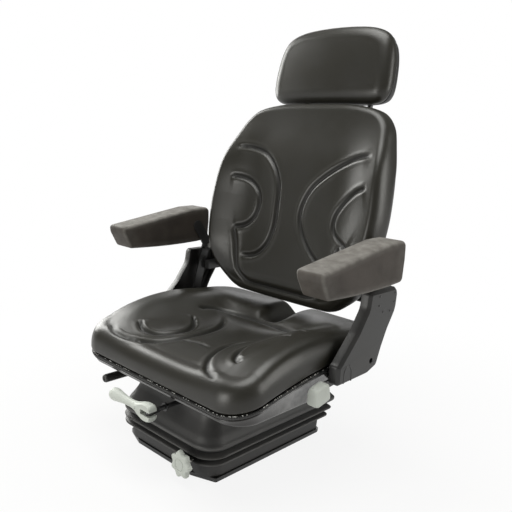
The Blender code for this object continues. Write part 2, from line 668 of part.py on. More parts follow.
def upper_frame():
    """The plate that carries the rails, with tracks, ears, damper lugs and the crank's bearing tabs."""
    half = UPPER_HALF_WIDTH
    frame = plate("upper_frame", rounded([(half, UPPER_FRONT_Y, 0.02), (half, UPPER_REAR_Y, 0.02),
                                          (-half, UPPER_REAR_Y, 0.02), (-half, UPPER_FRONT_Y, 0.02)]),
                  UPPER_PLATE_Z, UPPER_TOP_Z, "painted_steel", "Z")
    web_x = UPPER_HALF_WIDTH
    ear_x = INNER_BAR_X + SCISSOR_BAR + 2 * GAP
    track_low = UPPER_PLATE_Z - 2 * (ROLLER_RADIUS + ROLLER_PLAY) - TRACK_WALL
    for side in (1, -1):
        track = plate("track", track_outline(side, web_x, web_x - TRACK_LIP, track_low,
                                             UPPER_PLATE_Z + WELD_SINK, True),
                      SCISSOR_FRONT_Y - TRACK_FRONT, SCISSOR_FRONT_Y + TRACK_REAR, across="Y")
        lug_x = DAMPER_EYE_WIDTH / 2 + 2 * GAP
        lug = block("damper_lug", (side * lug_x, DAMPER_REAR_Y - 0.011, UPPER_PLATE_Z - DAMPER_HEAD_DROP - 0.009),
                    (side * (lug_x + EAR_WALL), DAMPER_REAR_Y + 0.011, UPPER_PLATE_Z + WELD_SINK))
        seat = rod("spring_seat", (side * SPRING_X, SPRING_Y, UPPER_PLATE_Z - SPRING_SEAT_HEIGHT),
                   (side * SPRING_X, SPRING_Y, UPPER_PLATE_Z + WELD_SINK), SPRING_SEAT_RADIUS)
        weld(frame, track, ear(side, ear_x, SCISSOR_REAR_Y, UPPER_PIVOT_Z, UPPER_PLATE_Z + WELD_SINK), lug, seat)
    crank_z = UPPER_TOP_Z + CRANK_RISE
    for y in (UPPER_FRONT_Y + 0.004, CRANK_REAR_Y - 0.012):
        tab = block("crank_tab", (CRANK_X - 0.011, y, UPPER_TOP_Z - WELD_SINK),
                    (CRANK_X + 0.011, y + 0.004, crank_z + CRANK_RADIUS + 0.005))
        weld(frame, tab)
    cut(frame, rod("crank_bore", (CRANK_X, UPPER_FRONT_Y - 0.02, crank_z), (CRANK_X, CRANK_REAR_Y + 0.02, crank_z),
                   CRANK_RADIUS + RUNNING),
        rod("damper_hole", (-0.03, DAMPER_REAR_Y, UPPER_PLATE_Z - DAMPER_HEAD_DROP),
            (0.03, DAMPER_REAR_Y, UPPER_PLATE_Z - DAMPER_HEAD_DROP), PIVOT_RADIUS + RUNNING))
    for side in (1, -1):
        cut(frame, rod("ear_hole", (side * (ear_x - 0.01), SCISSOR_REAR_Y, UPPER_PIVOT_Z),
                       (side * (ear_x + 0.008), SCISSOR_REAR_Y, UPPER_PIVOT_Z), PIVOT_RADIUS + RUNNING))
    return frame


def scissor_arms(name, bar_x, rear_z, front_z, centre_hole, rod_reach):
    """One pair of scissor arms with its pivot tube behind and its roller rod in front."""
    rear = (SCISSOR_REAR_Y, rear_z)
    front = (SCISSOR_FRONT_Y, front_z)
    middle = ((rear[0] + front[0]) / 2, (rear[1] + front[1]) / 2)
    arms = None
    for side in (1, -1):
        start, end = side * bar_x, side * (bar_x + SCISSOR_BAR)
        kind = "painted_steel" if arms is None else None
        bar = plate(name if kind else "bar", stadium(rear, front, SCISSOR_END_RADIUS, SCISSOR_END_RADIUS),
                    start, end, kind)
        eye = rod("eye", (start - side * BOSS, *middle), (end + side * BOSS, *middle), CENTRE_EYE_RADIUS)
        arms = bar if arms is None else weld(arms, bar)
        weld(arms, eye)
    inside = bar_x + WELD_SINK
    weld(arms, rod("tube", (-inside, *rear), (inside, *rear), CROSS_TUBE_RADIUS),
         rod("roller_rod", (-rod_reach, *front), (rod_reach, *front), PIVOT_RADIUS))
    through = bar_x + 0.02
    cut(arms, rod("tube_bore", (-through, *rear), (through, *rear), PIVOT_RADIUS + RUNNING))
    for side in (1, -1):
        cut(arms, rod("centre_hole", (side * (bar_x - 0.01), *middle), (side * (bar_x + 0.012), *middle), centre_hole))
    return arms


def scissors():
    """Both pairs of arms, their pivot shafts, centre pins and rollers."""
    pin_hole = CENTRE_PIN_RADIUS + RUNNING
    outer_reach = OUTER_BAR_X + SCISSOR_BAR + ROLLER_WIDTH + 0.0015
    inner_reach = INNER_BAR_X + SCISSOR_BAR + ROLLER_WIDTH + 0.0015
    outer = scissor_arms("scissor_arms_outer", OUTER_BAR_X, LOWER_PIVOT_Z, UPPER_PIVOT_Z, pin_hole, outer_reach)
    inner = scissor_arms("scissor_arms_inner", INNER_BAR_X, UPPER_PIVOT_Z, LOWER_PIVOT_Z,
                         CENTRE_PIN_RADIUS + CENTRE_HOLE_PLAY, inner_reach)
    shafts = []
    for name, z, reach in (("pivot_shaft_lower", LOWER_PIVOT_Z, OUTER_BAR_X + SCISSOR_BAR + EAR_WALL + 0.0025),
                           ("pivot_shaft_upper", UPPER_PIVOT_Z, INNER_BAR_X + SCISSOR_BAR + EAR_WALL + 0.0025)):
        shafts.append(rod(name, (-reach, SCISSOR_REAR_Y, z), (reach, SCISSOR_REAR_Y, z), PIVOT_RADIUS, "zinc_steel"))
    middle = (SCISSOR_REAR_Y - SCISSOR_RUN / 2, (LOWER_PIVOT_Z + UPPER_PIVOT_Z) / 2)
    pins = []
    for side, word in ((1, "left"), (-1, "right")):
        head = 0.003
        near = INNER_BAR_X - BOSS - GAP - head
        far = OUTER_BAR_X + SCISSOR_BAR + BOSS + GAP + head
        profile = [(0.0, far), (0.009, far), (0.009, far - head), (CENTRE_PIN_RADIUS, far - head),
                   (CENTRE_PIN_RADIUS, near + head), (0.009, near + head), (0.009, near), (0.0, near)]
        pins.append(turned("centre_pin_" + word, profile, (0, *middle), (side, 0, 0), "zinc_steel"))
    rollers = {}
    for pair, bar_x, z in (("upper", OUTER_BAR_X, UPPER_PIVOT_Z), ("lower", INNER_BAR_X, LOWER_PIVOT_Z)):
        for side, word in ((1, "left"), (-1, "right")):
            near = bar_x + SCISSOR_BAR + GAP
            profile = ring_profile(ROLLER_RADIUS, PIVOT_RADIUS + RUNNING, near, near + ROLLER_WIDTH)
            roller = turned("roller_" + pair + "_" + word, profile, (0, SCISSOR_FRONT_Y, z), (side, 0, 0), "nylon")
            rollers[pair, word] = roller
    return outer, inner, shafts, pins, rollers


def springs():
    """The two upright coil springs between the frames, with flat end turns."""
    made = []
    per_turn = 8
    low = SHEET + GAP + SPRING_WIRE
    high = UPPER_PLATE_Z - GAP - SPRING_WIRE
    total = SPRING_TURNS * per_turn
    for side, word in ((1, "left"), (-1, "right")):
        points = []
        for k in range(total + 1):
            angle = 2 * pi * k / per_turn
            climb = min(max((k - per_turn * 0.75) / (total - per_turn * 1.5), 0.0), 1.0)
            rise = (k / total) * 2 * SPRING_WIRE * (1 - climb) + climb * (high - low)
            points.append((side * SPRING_X + (SPRING_RADIUS - SPRING_WIRE) * cos(angle),
                           SPRING_Y + (SPRING_RADIUS - SPRING_WIRE) * sin(angle), low + min(rise, high - low)))
        made.append(bent_tube("coil_spring_" + word, points, SPRING_WIRE, "zinc_steel", resolution=0))
    return made


def damper():
    """The damper: a body on the lower frame and a rod to the upper frame."""
    foot = Vector((0, DAMPER_FRONT_Y, DAMPER_FOOT_Z))
    head = Vector((0, DAMPER_REAR_Y, UPPER_PLATE_Z - DAMPER_HEAD_DROP))
    along = (head - foot).normalized()
    body = rod("damper_body", foot + along * 0.018, foot + along * (0.018 + DAMPER_BODY_LENGTH), DAMPER_RADIUS,
               "painted_steel")
    half = DAMPER_EYE_WIDTH / 2
    weld(body, rod("eye", foot - Vector((half, 0, 0)), foot + Vector((half, 0, 0)), DAMPER_EYE_RADIUS),
         rod("neck", foot + along * 0.004, foot + along * 0.020, 0.0045))
    bore_end = foot + along * (0.022 + DAMPER_BODY_LENGTH)
    cut(body, rod("bore", foot + along * 0.030, bore_end, DAMPER_ROD_RADIUS + 0.0006),
        rod("pin_hole", foot - Vector((0.01, 0, 0)), foot + Vector((0.01, 0, 0)), PIVOT_RADIUS + RUNNING))
    piston = rod("damper_rod", foot + along * 0.060, head - along * 0.004, DAMPER_ROD_RADIUS, "zinc_steel")
    weld(piston, rod("eye", head - Vector((half, 0, 0)), head + Vector((half, 0, 0)),
                     DAMPER_EYE_RADIUS + DAMPER_HEAD_PLAY * 0.6))
    cut(piston, rod("pin_hole", head - Vector((0.01, 0, 0)), head + Vector((0.01, 0, 0)),
                    PIVOT_RADIUS + DAMPER_HEAD_PLAY))
    reach = half + EAR_WALL + 0.002
    lower_pin = rod("damper_pin_lower", foot - Vector((reach, 0, 0)), foot + Vector((reach, 0, 0)), PIVOT_RADIUS,
                    "zinc_steel")
    upper_pin = rod("damper_pin_upper", head - Vector((reach, 0, 0)), head + Vector((reach, 0, 0)), PIVOT_RADIUS,
                    "zinc_steel")
    return body, piston, lower_pin, upper_pin, foot, head


def bellows():
    """The rubber bellows: a skirt on the lower frame, three folds and a smooth upper part."""
    widest = max(reach for _, reach, _ in BELLOWS_PROFILE)
    least = min(reach for _, reach, _ in BELLOWS_PROFILE)
    rings = []
    for z, out, behind in BELLOWS_PROFILE:
        corner = BELLOWS_CORNERS[0] + (BELLOWS_CORNERS[1] - BELLOWS_CORNERS[0]) * (out - least) / (widest - least)
        side, front, rear = BASE_HALF_WIDTH + out, -BASE_HALF_DEPTH - out, BASE_HALF_DEPTH + behind
        ring = rounded([(side, front, corner), (side, rear, BELLOWS_REAR_CORNER), (-side, rear, BELLOWS_REAR_CORNER),
                        (-side, front, corner)], BELLOWS_CORNER_STEPS)
        rings.append([(x, y, z) for x, y in ring])
    skin = loft("bellows", rings, "rubber", False, False)
    thicken(skin, BELLOWS_WALL)
    crank_z = UPPER_TOP_Z + CRANK_RISE
    front = -BASE_HALF_DEPTH
    cut(skin, rod("crank_hole", (CRANK_X, front - 0.05, crank_z), (CRANK_X, front + 0.05, crank_z),
                  CRANK_RADIUS + 0.002),
        rod("knob_hole", (KNOB_X, front - 0.05, KNOB_Z), (KNOB_X, front + 0.05, KNOB_Z), KNOB_SHAFT_RADIUS + 0.003))
    return skin


def star_knob():
    """The lobed knob at the front of the lower frame, and its shaft."""
    outline = []
    count = KNOB_LOBES * 6
    for k in range(count):
        angle = 2 * pi * k / count
        radius = KNOB_RADIUS - 0.0045 * (1 - cos(KNOB_LOBES * angle)) / 2 * 1.3
        outline.append((KNOB_X + radius * cos(angle), KNOB_Z + radius * sin(angle)))
    knob = plate("star_knob", outline, KNOB_FRONT_Y, KNOB_FRONT_Y + KNOB_DEPTH * 0.6, "grey_plastic", "Y")
    bevel(knob, 0.003, 1, 60)
    hub = rod("hub", (KNOB_X, KNOB_FRONT_Y + 0.005, KNOB_Z), (KNOB_X, KNOB_FRONT_Y + KNOB_DEPTH, KNOB_Z), 0.012)
    weld(knob, hub)
    socket = KNOB_FRONT_Y + 0.006
    cut(knob, rod("socket", (KNOB_X, socket, KNOB_Z), (KNOB_X, 0, KNOB_Z), KNOB_SHAFT_RADIUS + GAP))
    back = KNOB_BRACKET_Y + 0.006
    profile = [(0.0, back), (0.008, back), (0.008, KNOB_BRACKET_Y + GAP), (KNOB_SHAFT_RADIUS, KNOB_BRACKET_Y + GAP),
               (KNOB_SHAFT_RADIUS, socket + GAP), (0.0, socket + GAP)]
    shaft = turned("star_knob_shaft", profile, (KNOB_X, 0, KNOB_Z), (0, 1, 0), "zinc_steel")
    return knob, shaft


def crank():
    """The weight adjuster: shaft with a flat tang, fold-out handle and its pin."""
    z = UPPER_TOP_Z + CRANK_RISE
    collar = CRANK_COLLAR_Y
    profile = [(0.0, CRANK_REAR_Y), (CRANK_RADIUS, CRANK_REAR_Y), (CRANK_RADIUS, collar),
               (CRANK_COLLAR_RADIUS, collar), (CRANK_COLLAR_RADIUS, collar - 0.003), (CRANK_RADIUS, collar - 0.003),
               (CRANK_RADIUS, CRANK_FRONT_Y + 0.006), (0.0, CRANK_FRONT_Y + 0.006)]
    shaft = turned("crank_shaft", profile, (CRANK_X, 0, z), (0, 1, 0), "painted_steel")
    fold_y = CRANK_FRONT_Y - CRANK_FOLD
    tang = plate("tang", stadium((CRANK_X, fold_y), (CRANK_X, CRANK_FRONT_Y + 0.010), 0.0070, 0.0048, 5),
                 z - CRANK_TANG_HALF, z + CRANK_TANG_HALF, across="Z")
    weld(shaft, tang)
    pin_hole = rod("pin_hole", (CRANK_X, fold_y, z - 0.03), (CRANK_X, fold_y, z + 0.03), CRANK_PIN_RADIUS + RUNNING)
    cut(shaft, pin_hole)
    length, neck, fork = HANDLE_LENGTH, HANDLE_NECK_RADIUS, HANDLE_FORK_RADIUS
    shape = [(0.0, length + 0.010), (HANDLE_TIP_RADIUS * 0.62, length + 0.008), (HANDLE_TIP_RADIUS, length + 0.001),
             (HANDLE_TIP_RADIUS * 0.98, length - 0.008), (neck * 1.15, length - 0.038), (neck, length - 0.062),
             (neck * 1.25, length - 0.082), (fork, 0.016), (fork, -0.004), (fork * 0.8, -HANDLE_FORK_DEPTH),
             (0.0, -HANDLE_FORK_DEPTH)]
    handle = turned("crank_handle", shape, (CRANK_X, fold_y, z), (-1, 0, 0), "grey_plastic")
    for face in (1, -1):
        cut(handle, block("fork_flat", (CRANK_X - 0.045, fold_y + face * HANDLE_FORK_HALF, z - 0.03),
                          (CRANK_X + 0.03, fold_y + face * 0.03, z + 0.03)))
    gap_half = CRANK_TANG_HALF + GAP
    cut(handle, block("fork_gap", (CRANK_X - 0.014, fold_y - 0.02, z - gap_half),
                      (CRANK_X + 0.03, fold_y + 0.02, z + gap_half)), pin_hole)
    pin = rod("crank_handle_pin", (CRANK_X, fold_y, z - fork + 0.001), (CRANK_X, fold_y, z + fork - 0.001),
              CRANK_PIN_RADIUS, "zinc_steel")
    return shaft, handle, pin, Vector((CRANK_X, fold_y, z))


# Slide rails

def slide_rails():
    """The fixed rails on the upper frame, and the sliders that carry the seat."""
    fixed, sliding = [], []
    top = RAIL_Z + RAIL_HEIGHT
    for side, word in ((1, "left"), (-1, "right")):
        x = side * RAIL_X
        w, t, lip = RAIL_HALF_WIDTH, RAIL_WALL, RAIL_LIP
        section = [(x - w, RAIL_Z), (x + w, RAIL_Z), (x + w, top), (x + w - lip, top), (x + w - lip, top - t),
                   (x + w - t, top - t), (x + w - t, RAIL_Z + t), (x - w + t, RAIL_Z + t), (x - w + t, top - t),
                   (x - w + lip, top - t), (x - w + lip, top), (x - w, top)]
        fixed.append(plate("rail_lower_" + word, section, RAIL_FRONT_Y, RAIL_REAR_Y, "zinc_steel", "Y"))
        foot = w - t - 0.0010
        neck = SLIDER_NECK / 2
        low = RAIL_Z + t + 0.0010
        under = top - t - 0.0010
        high = SLIDER_TOP_Z
        head = w - 0.002
        section = [(x - foot, low), (x + foot, low), (x + foot, under), (x + neck, under), (x + neck, high - t),
                   (x + head, high - t), (x + head, high), (x - head, high), (x - head, high - t),
                   (x - neck, high - t), (x - neck, under), (x - foot, under)]
        start = (RAIL_FRONT_Y + RAIL_REAR_Y - SLIDER_LENGTH) / 2
        slider = plate("rail_upper_" + word, section, start, start + SLIDER_LENGTH, "zinc_steel", "Y")
        if side < 0:
            reach = RAIL_X + SLIDER_NECK
            hole = rod("lever_hole", (-reach, RAIL_LEVER_PIVOT_Y, RAIL_LEVER_LIFT),
                       (-reach + 2 * SLIDER_NECK, RAIL_LEVER_PIVOT_Y, RAIL_LEVER_LIFT), RAIL_LEVER_RADIUS + RUNNING)
            boolean(slider, hole, solver="MANIFOLD")
        sliding.append(slider)
    return fixed, sliding


def rail_lever():
    """The release bar of the slide rails with its round grip, hung in the right-hand slider."""
    x, z = RAIL_LEVER_X, RAIL_LEVER_Z
    y, lift = RAIL_LEVER_PIVOT_Y, RAIL_LEVER_LIFT
    bend = -(RAIL_X + RAIL_HALF_WIDTH + 0.008)
    front = RAIL_LEVER_FRONT_Y + RAIL_GRIP_LENGTH
    path = [(-RAIL_X + SLIDER_NECK / 2 + 0.003, y, lift), (bend, y, lift), (bend - 0.006, y - 0.003, lift),
            (bend - 0.009, y - 0.010, lift), (-BASE_HALF_WIDTH - 0.004, y - 0.055, lift - 0.001),
            (x + 0.005, front + 0.030, z + 0.003), (x, front + 0.012, z), (x, front - RAIL_GRIP_LENGTH * 0.8, z)]
    bar = bent_tube("rail_lever", path, RAIL_LEVER_RADIUS, "painted_steel", resolution=2)
    profile = [(0.0, 0.003), (RAIL_GRIP_RADIUS * 0.85, 0.0), (RAIL_GRIP_RADIUS, -0.004),
               (RAIL_GRIP_RADIUS, -RAIL_GRIP_LENGTH), (RAIL_LEVER_RADIUS + GAP, -RAIL_GRIP_LENGTH),
               (RAIL_LEVER_RADIUS + GAP, -0.010), (0.0, -0.010)]
    grip = turned("rail_lever_grip", profile, (x, RAIL_LEVER_FRONT_Y, z), (0, -1, 0), "black_plastic")
    return bar, grip


# Seat

def seat_ring(inset):
    """A ring round the seat, set in from the pan's largest outline."""
    return box_ring(SEAT_HALF_WIDTH - inset, SEAT_FRONT_Y + inset, SEAT_REAR_Y - inset, SEAT_CORNER - inset,
                    SEAT_SIDE_POINTS, SEAT_CORNER_POINTS)


def at_seam(inset, rise=0.0):
    """A ring at the seam's height, taken from the pan's largest outline so that rings stay parallel."""
    return [(x, y, seam_z(outer_y) + rise) for (x, y), (_, outer_y) in zip(seat_ring(inset), seat_ring(0))]


def seam_z(y):
    """The height of the seam between pan and cushion."""
    return SEAT_Z + along_table(SEAM_RISE, y)


def seat_pan():
    """The moulded pan with its wall rising towards the back."""
    floor = [(x, y, SEAT_Z) for x, y in seat_ring(PAN_DRAFT + 0.010)]
    low = [(x, y, SEAT_Z + 0.002) for x, y in seat_ring(PAN_DRAFT + 0.003)]
    low_wall = [(x, y, SEAT_Z + 0.006) for x, y in seat_ring(PAN_DRAFT)]
    skin = loft("seat_pan", [floor, low, low_wall, at_seam(0, -GAP - PAN_WALL)], "gloss_black", True, False)
    thicken(skin, PAN_WALL)
    return skin


def seat_trim():
    """The edge strip clipped over the rim of the pan."""
    rows = []
    for inset, rise in ((-0.0025, 0.0), (TRIM_WIDTH - 0.0025, 0.0), (TRIM_WIDTH - 0.0025, TRIM_HEIGHT),
                        (0.0, TRIM_HEIGHT), (-0.0025, TRIM_HEIGHT * 0.6)):
        rows.append(at_seam(inset, rise))
    rows.append(rows[0])
    strip = loft("seat_edge_trim", rows, "black_plastic", False, False)
    shape = bmesh.new()
    shape.from_mesh(strip.data)
    bmesh.ops.remove_doubles(shape, verts=shape.verts, dist=0.00005)
    bmesh.ops.recalc_face_normals(shape, faces=shape.faces)
    shape.to_mesh(strip.data)
    shape.free()
    return strip


def seat_top(x, y):
    """The height of the cushion's upper surface inside its crest."""
    share = min(abs(x) / CREST_X, 1.0)
    side = along_table(SIDE_CREST, y)
    middle = along_table(MIDDLE_CREST, y)
    z = middle + (side - middle) * share ** 2.2
    into = min(max((y - NOTCH_FRONT_Y) / (SEAT_REAR_Y - NOTCH_FRONT_Y), 0.0), 1.0)
    across = max(1.0 - abs(x) / NOTCH_HALF_WIDTH, 0.0)
    least = seam_z(y) + SEAT_EDGE_RISE
    return max(SEAT_Z + z - NOTCH_DEPTH * into * across, least)


def seat_cushion():
    """The vinyl cushion: high sides, a dished middle and a split at the back."""
    inside = PAN_DRAFT + PAN_WALL
    seam = TRIM_HEIGHT + GAP
    rings = [[(x, y, SEAT_Z + PAN_WALL + 0.001) for x, y in seat_ring(inside + 0.014)],
             at_seam(inside, -0.003), at_seam(inside, seam), at_seam(0.001, seam)]
    for inset, share in ((-SEAT_BULGE, 0.40), (0.002, 0.82)):
        ring = []
        for x, y, low in at_seam(inset, seam):
            ring.append((x, y, low + (seat_top(x, y) - low) * share))
        rings.append(ring)
    for inset, drop in ((0.022, 0.004), (0.048, 0.0), (0.095, 0.0), (0.150, 0.0), (0.210, 0.0)):
        outline = box_ring(SEAT_HALF_WIDTH - inset, SEAT_FRONT_Y + inset, SEAT_REAR_Y - inset,
                           max(SEAT_CORNER - inset * 0.35, 0.012), SEAT_SIDE_POINTS, SEAT_CORNER_POINTS)
        rings.append([(x, y, seat_top(x, y) - drop) for x, y in outline])
    return loft("seat_cushion", rings, "black_vinyl")


# Back

def on_back(x, v, w):
    """A point by its place on the back's plane: across, up along the plane, and in front of it."""
    y = BACK_FOOT_Y + v * sin(BACK_TILT) - w * cos(BACK_TILT)
    z = SEAT_Z + BACK_FOOT_RISE + v * cos(BACK_TILT) + w * sin(BACK_TILT)
    return (x, y, z)


def back_half_width(v):
    """Half the back's width at a height on its plane, from the seat's half width."""
    return SEAT_HALF_WIDTH + along_table(BACK_OUTLINE, v)


def back_ring(inset, share=1.0):
    """A ring of (x, v) round the back, set in from its outline and then drawn towards the middle."""
    height = BACK_OUTLINE[-1][0]
    middle = height / 2
    half = []
    for k in range(BACK_STEPS + 1):
        v = height * (1 - cos(pi * k / BACK_STEPS)) / 2
        half.append((back_half_width(v), v))
    squeeze = 1 - inset / middle
    ring = [((x - inset) * share, middle + (v - middle) * squeeze * share) for x, v in half]
    return ring + [(-x, v) for x, v in reversed(ring)]


def back_face(x, v):
    """How far the cushion's front stands before the back's plane."""
    share = min(max((abs(x) / back_half_width(v) - 0.30) / 0.58, 0.0), 1.0)
    height = BACK_OUTLINE[-1][0]
    ends = max(min(1.0, v / 0.11) * min(1.0, (height - v) / 0.16), 0.0)
    rolled = 0.016 * max((v - height + 0.12) / 0.12, 0.0) ** 2 + 0.012 * max((0.05 - v) / 0.05, 0.0) ** 2
    return BACK_BOLSTER * share * share * (3 - 2 * share) * sqrt(ends) - rolled


def seam_behind(v):
    """How far the back's seam lies behind its plane."""
    return along_table(BACK_SEAM, v)


def back_cushion():
    """The vinyl back cushion with its side bolsters, from its seam to its front."""
    rings = [[on_back(x, v, -BACK_INSIDE) for x, v in back_ring(0.060)],
             [on_back(x, v, -seam_behind(v) - 0.002) for x, v in back_ring(BACK_SEAM_INSET + 0.012)],
             [on_back(x, v, -seam_behind(v)) for x, v in back_ring(BACK_SEAM_INSET)]]
    for inset, share in ((0.003, 0.28), (0.000, 0.52), (0.005, 0.78), (0.018, 0.95)):
        ring = []
        for x, v in back_ring(inset):
            seam = -seam_behind(v)
            ring.append(on_back(x, v, seam + (back_face(x, v) - seam) * share))
        rings.append(ring)
    for inset, scale in ((0.040, 1.0), (0.065, 1.0), (0.065, 0.80), (0.065, 0.58), (0.065, 0.36), (0.065, 0.14)):
        rings.append([on_back(x, v, back_face(x, v)) for x, v in back_ring(inset, scale)])
    return loft("back_cushion", rings, "black_vinyl")


def back_shell():
    """The moulded rear cover of the back, open at the front, with holes for posts and cross bar."""
    rings = []
    for reach, scale in ((0.0, 1.0), (0.002, 1.0), (0.010, 1.0), (0.024, 1.0), (0.050, 1.0), (SHELL_ROUND, 0.85),
                         (SHELL_ROUND, 0.60), (SHELL_ROUND, 0.35), (SHELL_ROUND, 0.12)):
        ring = []
        for x, v in back_ring(SHELL_INSET + reach, scale):
            share = 1 - max(1 - reach / SHELL_ROUND, 0.0) ** 2.2
            edge = seam_behind(v) + SHELL_RIM + (SHELL_SIDE if reach else 0.0)
            ring.append(on_back(x, v, -edge - (along_table(SHELL_REAR, v) - edge) * share))
        rings.append(ring)
    skin = loft("back_shell", rings, "black_plastic", False, True)
    thicken(skin, SHELL_WALL)
    for side in (1, -1):
        cut(skin, rod("post_hole", on_back(side * POST_X, GUIDE_TOP - 0.09, -POST_BEHIND),
                      on_back(side * POST_X, GUIDE_TOP + 0.08, -POST_BEHIND), POST_RADIUS + GUIDE_WALL + 0.001))
    y, z = crossbar_place()
    cut(skin, rod("bar_hole", (-0.30, y, z), (0.30, y, z), FRAME_TUBE_RADIUS + 0.002))
    return skin


def crossbar_place():
    """Where the frame's lower cross bar runs, as (y, z)."""
    place = on_back(0, FRAME_BAR_UP, -FRAME_BAR_BEHIND)
    return place[1], place[2]


def arm_outline():
    """The side arm from the recliner's axis to the armrest's."""
    return stadium((RECLINE_Y, RECLINE_Z), (ARM_PIVOT_Y, ARM_PIVOT_Z), RECLINE_EYE_RADIUS,
                   SIDE_ARM_HEAD_RADIUS)


def back_frame():
    """The welded frame of the back: a tube loop, a cross bar and the two side arms."""
    y, z = crossbar_place()
    reach = SIDE_ARM_X + WELD_SINK
    frame = rod("back_frame", (-reach, y, z), (reach, y, z), FRAME_TUBE_RADIUS, "painted_steel")
    corners = rounded([(FRAME_LOOP_X, FRAME_LOOP_FOOT, 0), (FRAME_LOOP_X, FRAME_LOOP_TOP, FRAME_LOOP_BEND),
                       (-FRAME_LOOP_X, FRAME_LOOP_TOP, FRAME_LOOP_BEND), (-FRAME_LOOP_X, FRAME_LOOP_FOOT, 0)], 4)
    loop = bent_tube("loop", [on_back(x, v, -FRAME_LOOP_BEHIND) for x, v in corners], FRAME_LOOP_RADIUS)
    weld(frame, loop)
    for side in (1, -1):
        arm = plate("side_arm", arm_outline(), side * SIDE_ARM_X, side * (SIDE_ARM_X + SIDE_ARM_WALL))
        gusset = block("gusset", (side * (SIDE_ARM_X - GUSSET_WIDTH), ARM_PIVOT_Y - GUSSET_FRONT,
                                  z - GUSSET_HALF_HEIGHT), (side * reach, y, z + GUSSET_HALF_HEIGHT))
        weld(frame, arm, gusset)
    for side in (1, -1):
        near, far = side * (SIDE_ARM_X - SIDE_ARM_WALL), side * (SIDE_ARM_X + 2 * SIDE_ARM_WALL)
        cut(frame, rod("recline_hole", (near, RECLINE_Y, RECLINE_Z), (far, RECLINE_Y, RECLINE_Z),
                       RECLINE_BOLT_RADIUS + RUNNING),
            rod("arm_hole", (near, ARM_PIVOT_Y, ARM_PIVOT_Z), (far, ARM_PIVOT_Y, ARM_PIVOT_Z),
                ARM_BOLT_RADIUS + RUNNING))
    return frame


def headrest_guides():
    """The two tubes inside the back that the headrest's posts slide in."""
    made = []
    for side, word in ((1, "left"), (-1, "right")):
        profile = ring_profile(POST_RADIUS + GUIDE_WALL, POST_RADIUS + RUNNING, -GUIDE_LENGTH, 0.0)
        made.append(turned("headrest_guide_" + word, profile, on_back(side * POST_X, GUIDE_TOP, -POST_BEHIND),
                           (0, sin(BACK_TILT), cos(BACK_TILT)), "nylon"))
    return made


# Recliner, covers and armrests

def recliner_brackets():
    """The steel brackets on the pan that carry the back, one on each side."""
    made = []
    for side, word in ((1, "left"), (-1, "right")):
        low = SEAT_Z - GAP - BRACKET_FOOT_WALL
        high = RECLINE_Z + BRACKET_RISE
        outline = rounded([(BRACKET_FRONT_Y, low, 0.004), (RECLINE_Y + BRACKET_REAR, low, 0.006),
                           (RECLINE_Y + BRACKET_HEAD, high, 0.018), (RECLINE_Y - BRACKET_HEAD, high, 0.018),
                           (BRACKET_FRONT_Y + 0.012, high - 0.010, 0.012), (BRACKET_FRONT_Y, high - 0.028, 0.008)])
        upright = plate("recliner_bracket_" + word, outline, side * BRACKET_X, side * (BRACKET_X + BRACKET_WALL),
                        "painted_steel")
        foot = block("foot", (side * BRACKET_FOOT_X, BRACKET_FRONT_Y + 0.02, low),
                     (side * (BRACKET_X + WELD_SINK), RECLINE_Y + 0.020, SEAT_Z - GAP))
        weld(upright, foot)
        near, far = side * (BRACKET_X - BRACKET_WALL), side * (BRACKET_X + 2 * BRACKET_WALL)
        cut(upright, rod("hole", (near, RECLINE_Y, RECLINE_Z), (far, RECLINE_Y, RECLINE_Z),
                         RECLINE_BOLT_RADIUS + RUNNING))
        if side > 0:
            cut(upright, rod("lever_hole", (near, LEVER_Y, SEAT_Z + LEVER_RISE), (far, LEVER_Y, SEAT_Z + LEVER_RISE),
                             LEVER_PIN_RADIUS + RUNNING))
        made.append(upright)
    return made


def stepped_pin(name, side, y, z, near, far, radius, near_head, far_head, kind="zinc_steel", head_radius=None):
    """A bolt or rivet along X with a head at each end."""
    wide = head_radius or radius * 1.7
    profile = [(0.0, far), (wide, far), (wide, far - far_head), (radius, far - far_head),
               (radius, near + near_head), (wide, near + near_head), (wide, near), (0.0, near)]
    return turned(name, profile, (0, y, z), (side, 0, 0), kind)


def recline_bolts():
    """The bolts on the recliner's axis."""
    made = []
    for side, word in ((1, "left"), (-1, "right")):
        inner_head, outer_head = RECLINE_BOLT_HEADS
        near = BRACKET_X - GAP - inner_head
        far = SIDE_ARM_X + SIDE_ARM_WALL + GAP + outer_head
        made.append(stepped_pin("recline_bolt_" + word, side, RECLINE_Y, RECLINE_Z, near, far, RECLINE_BOLT_RADIUS,
                                inner_head, outer_head))
    return made


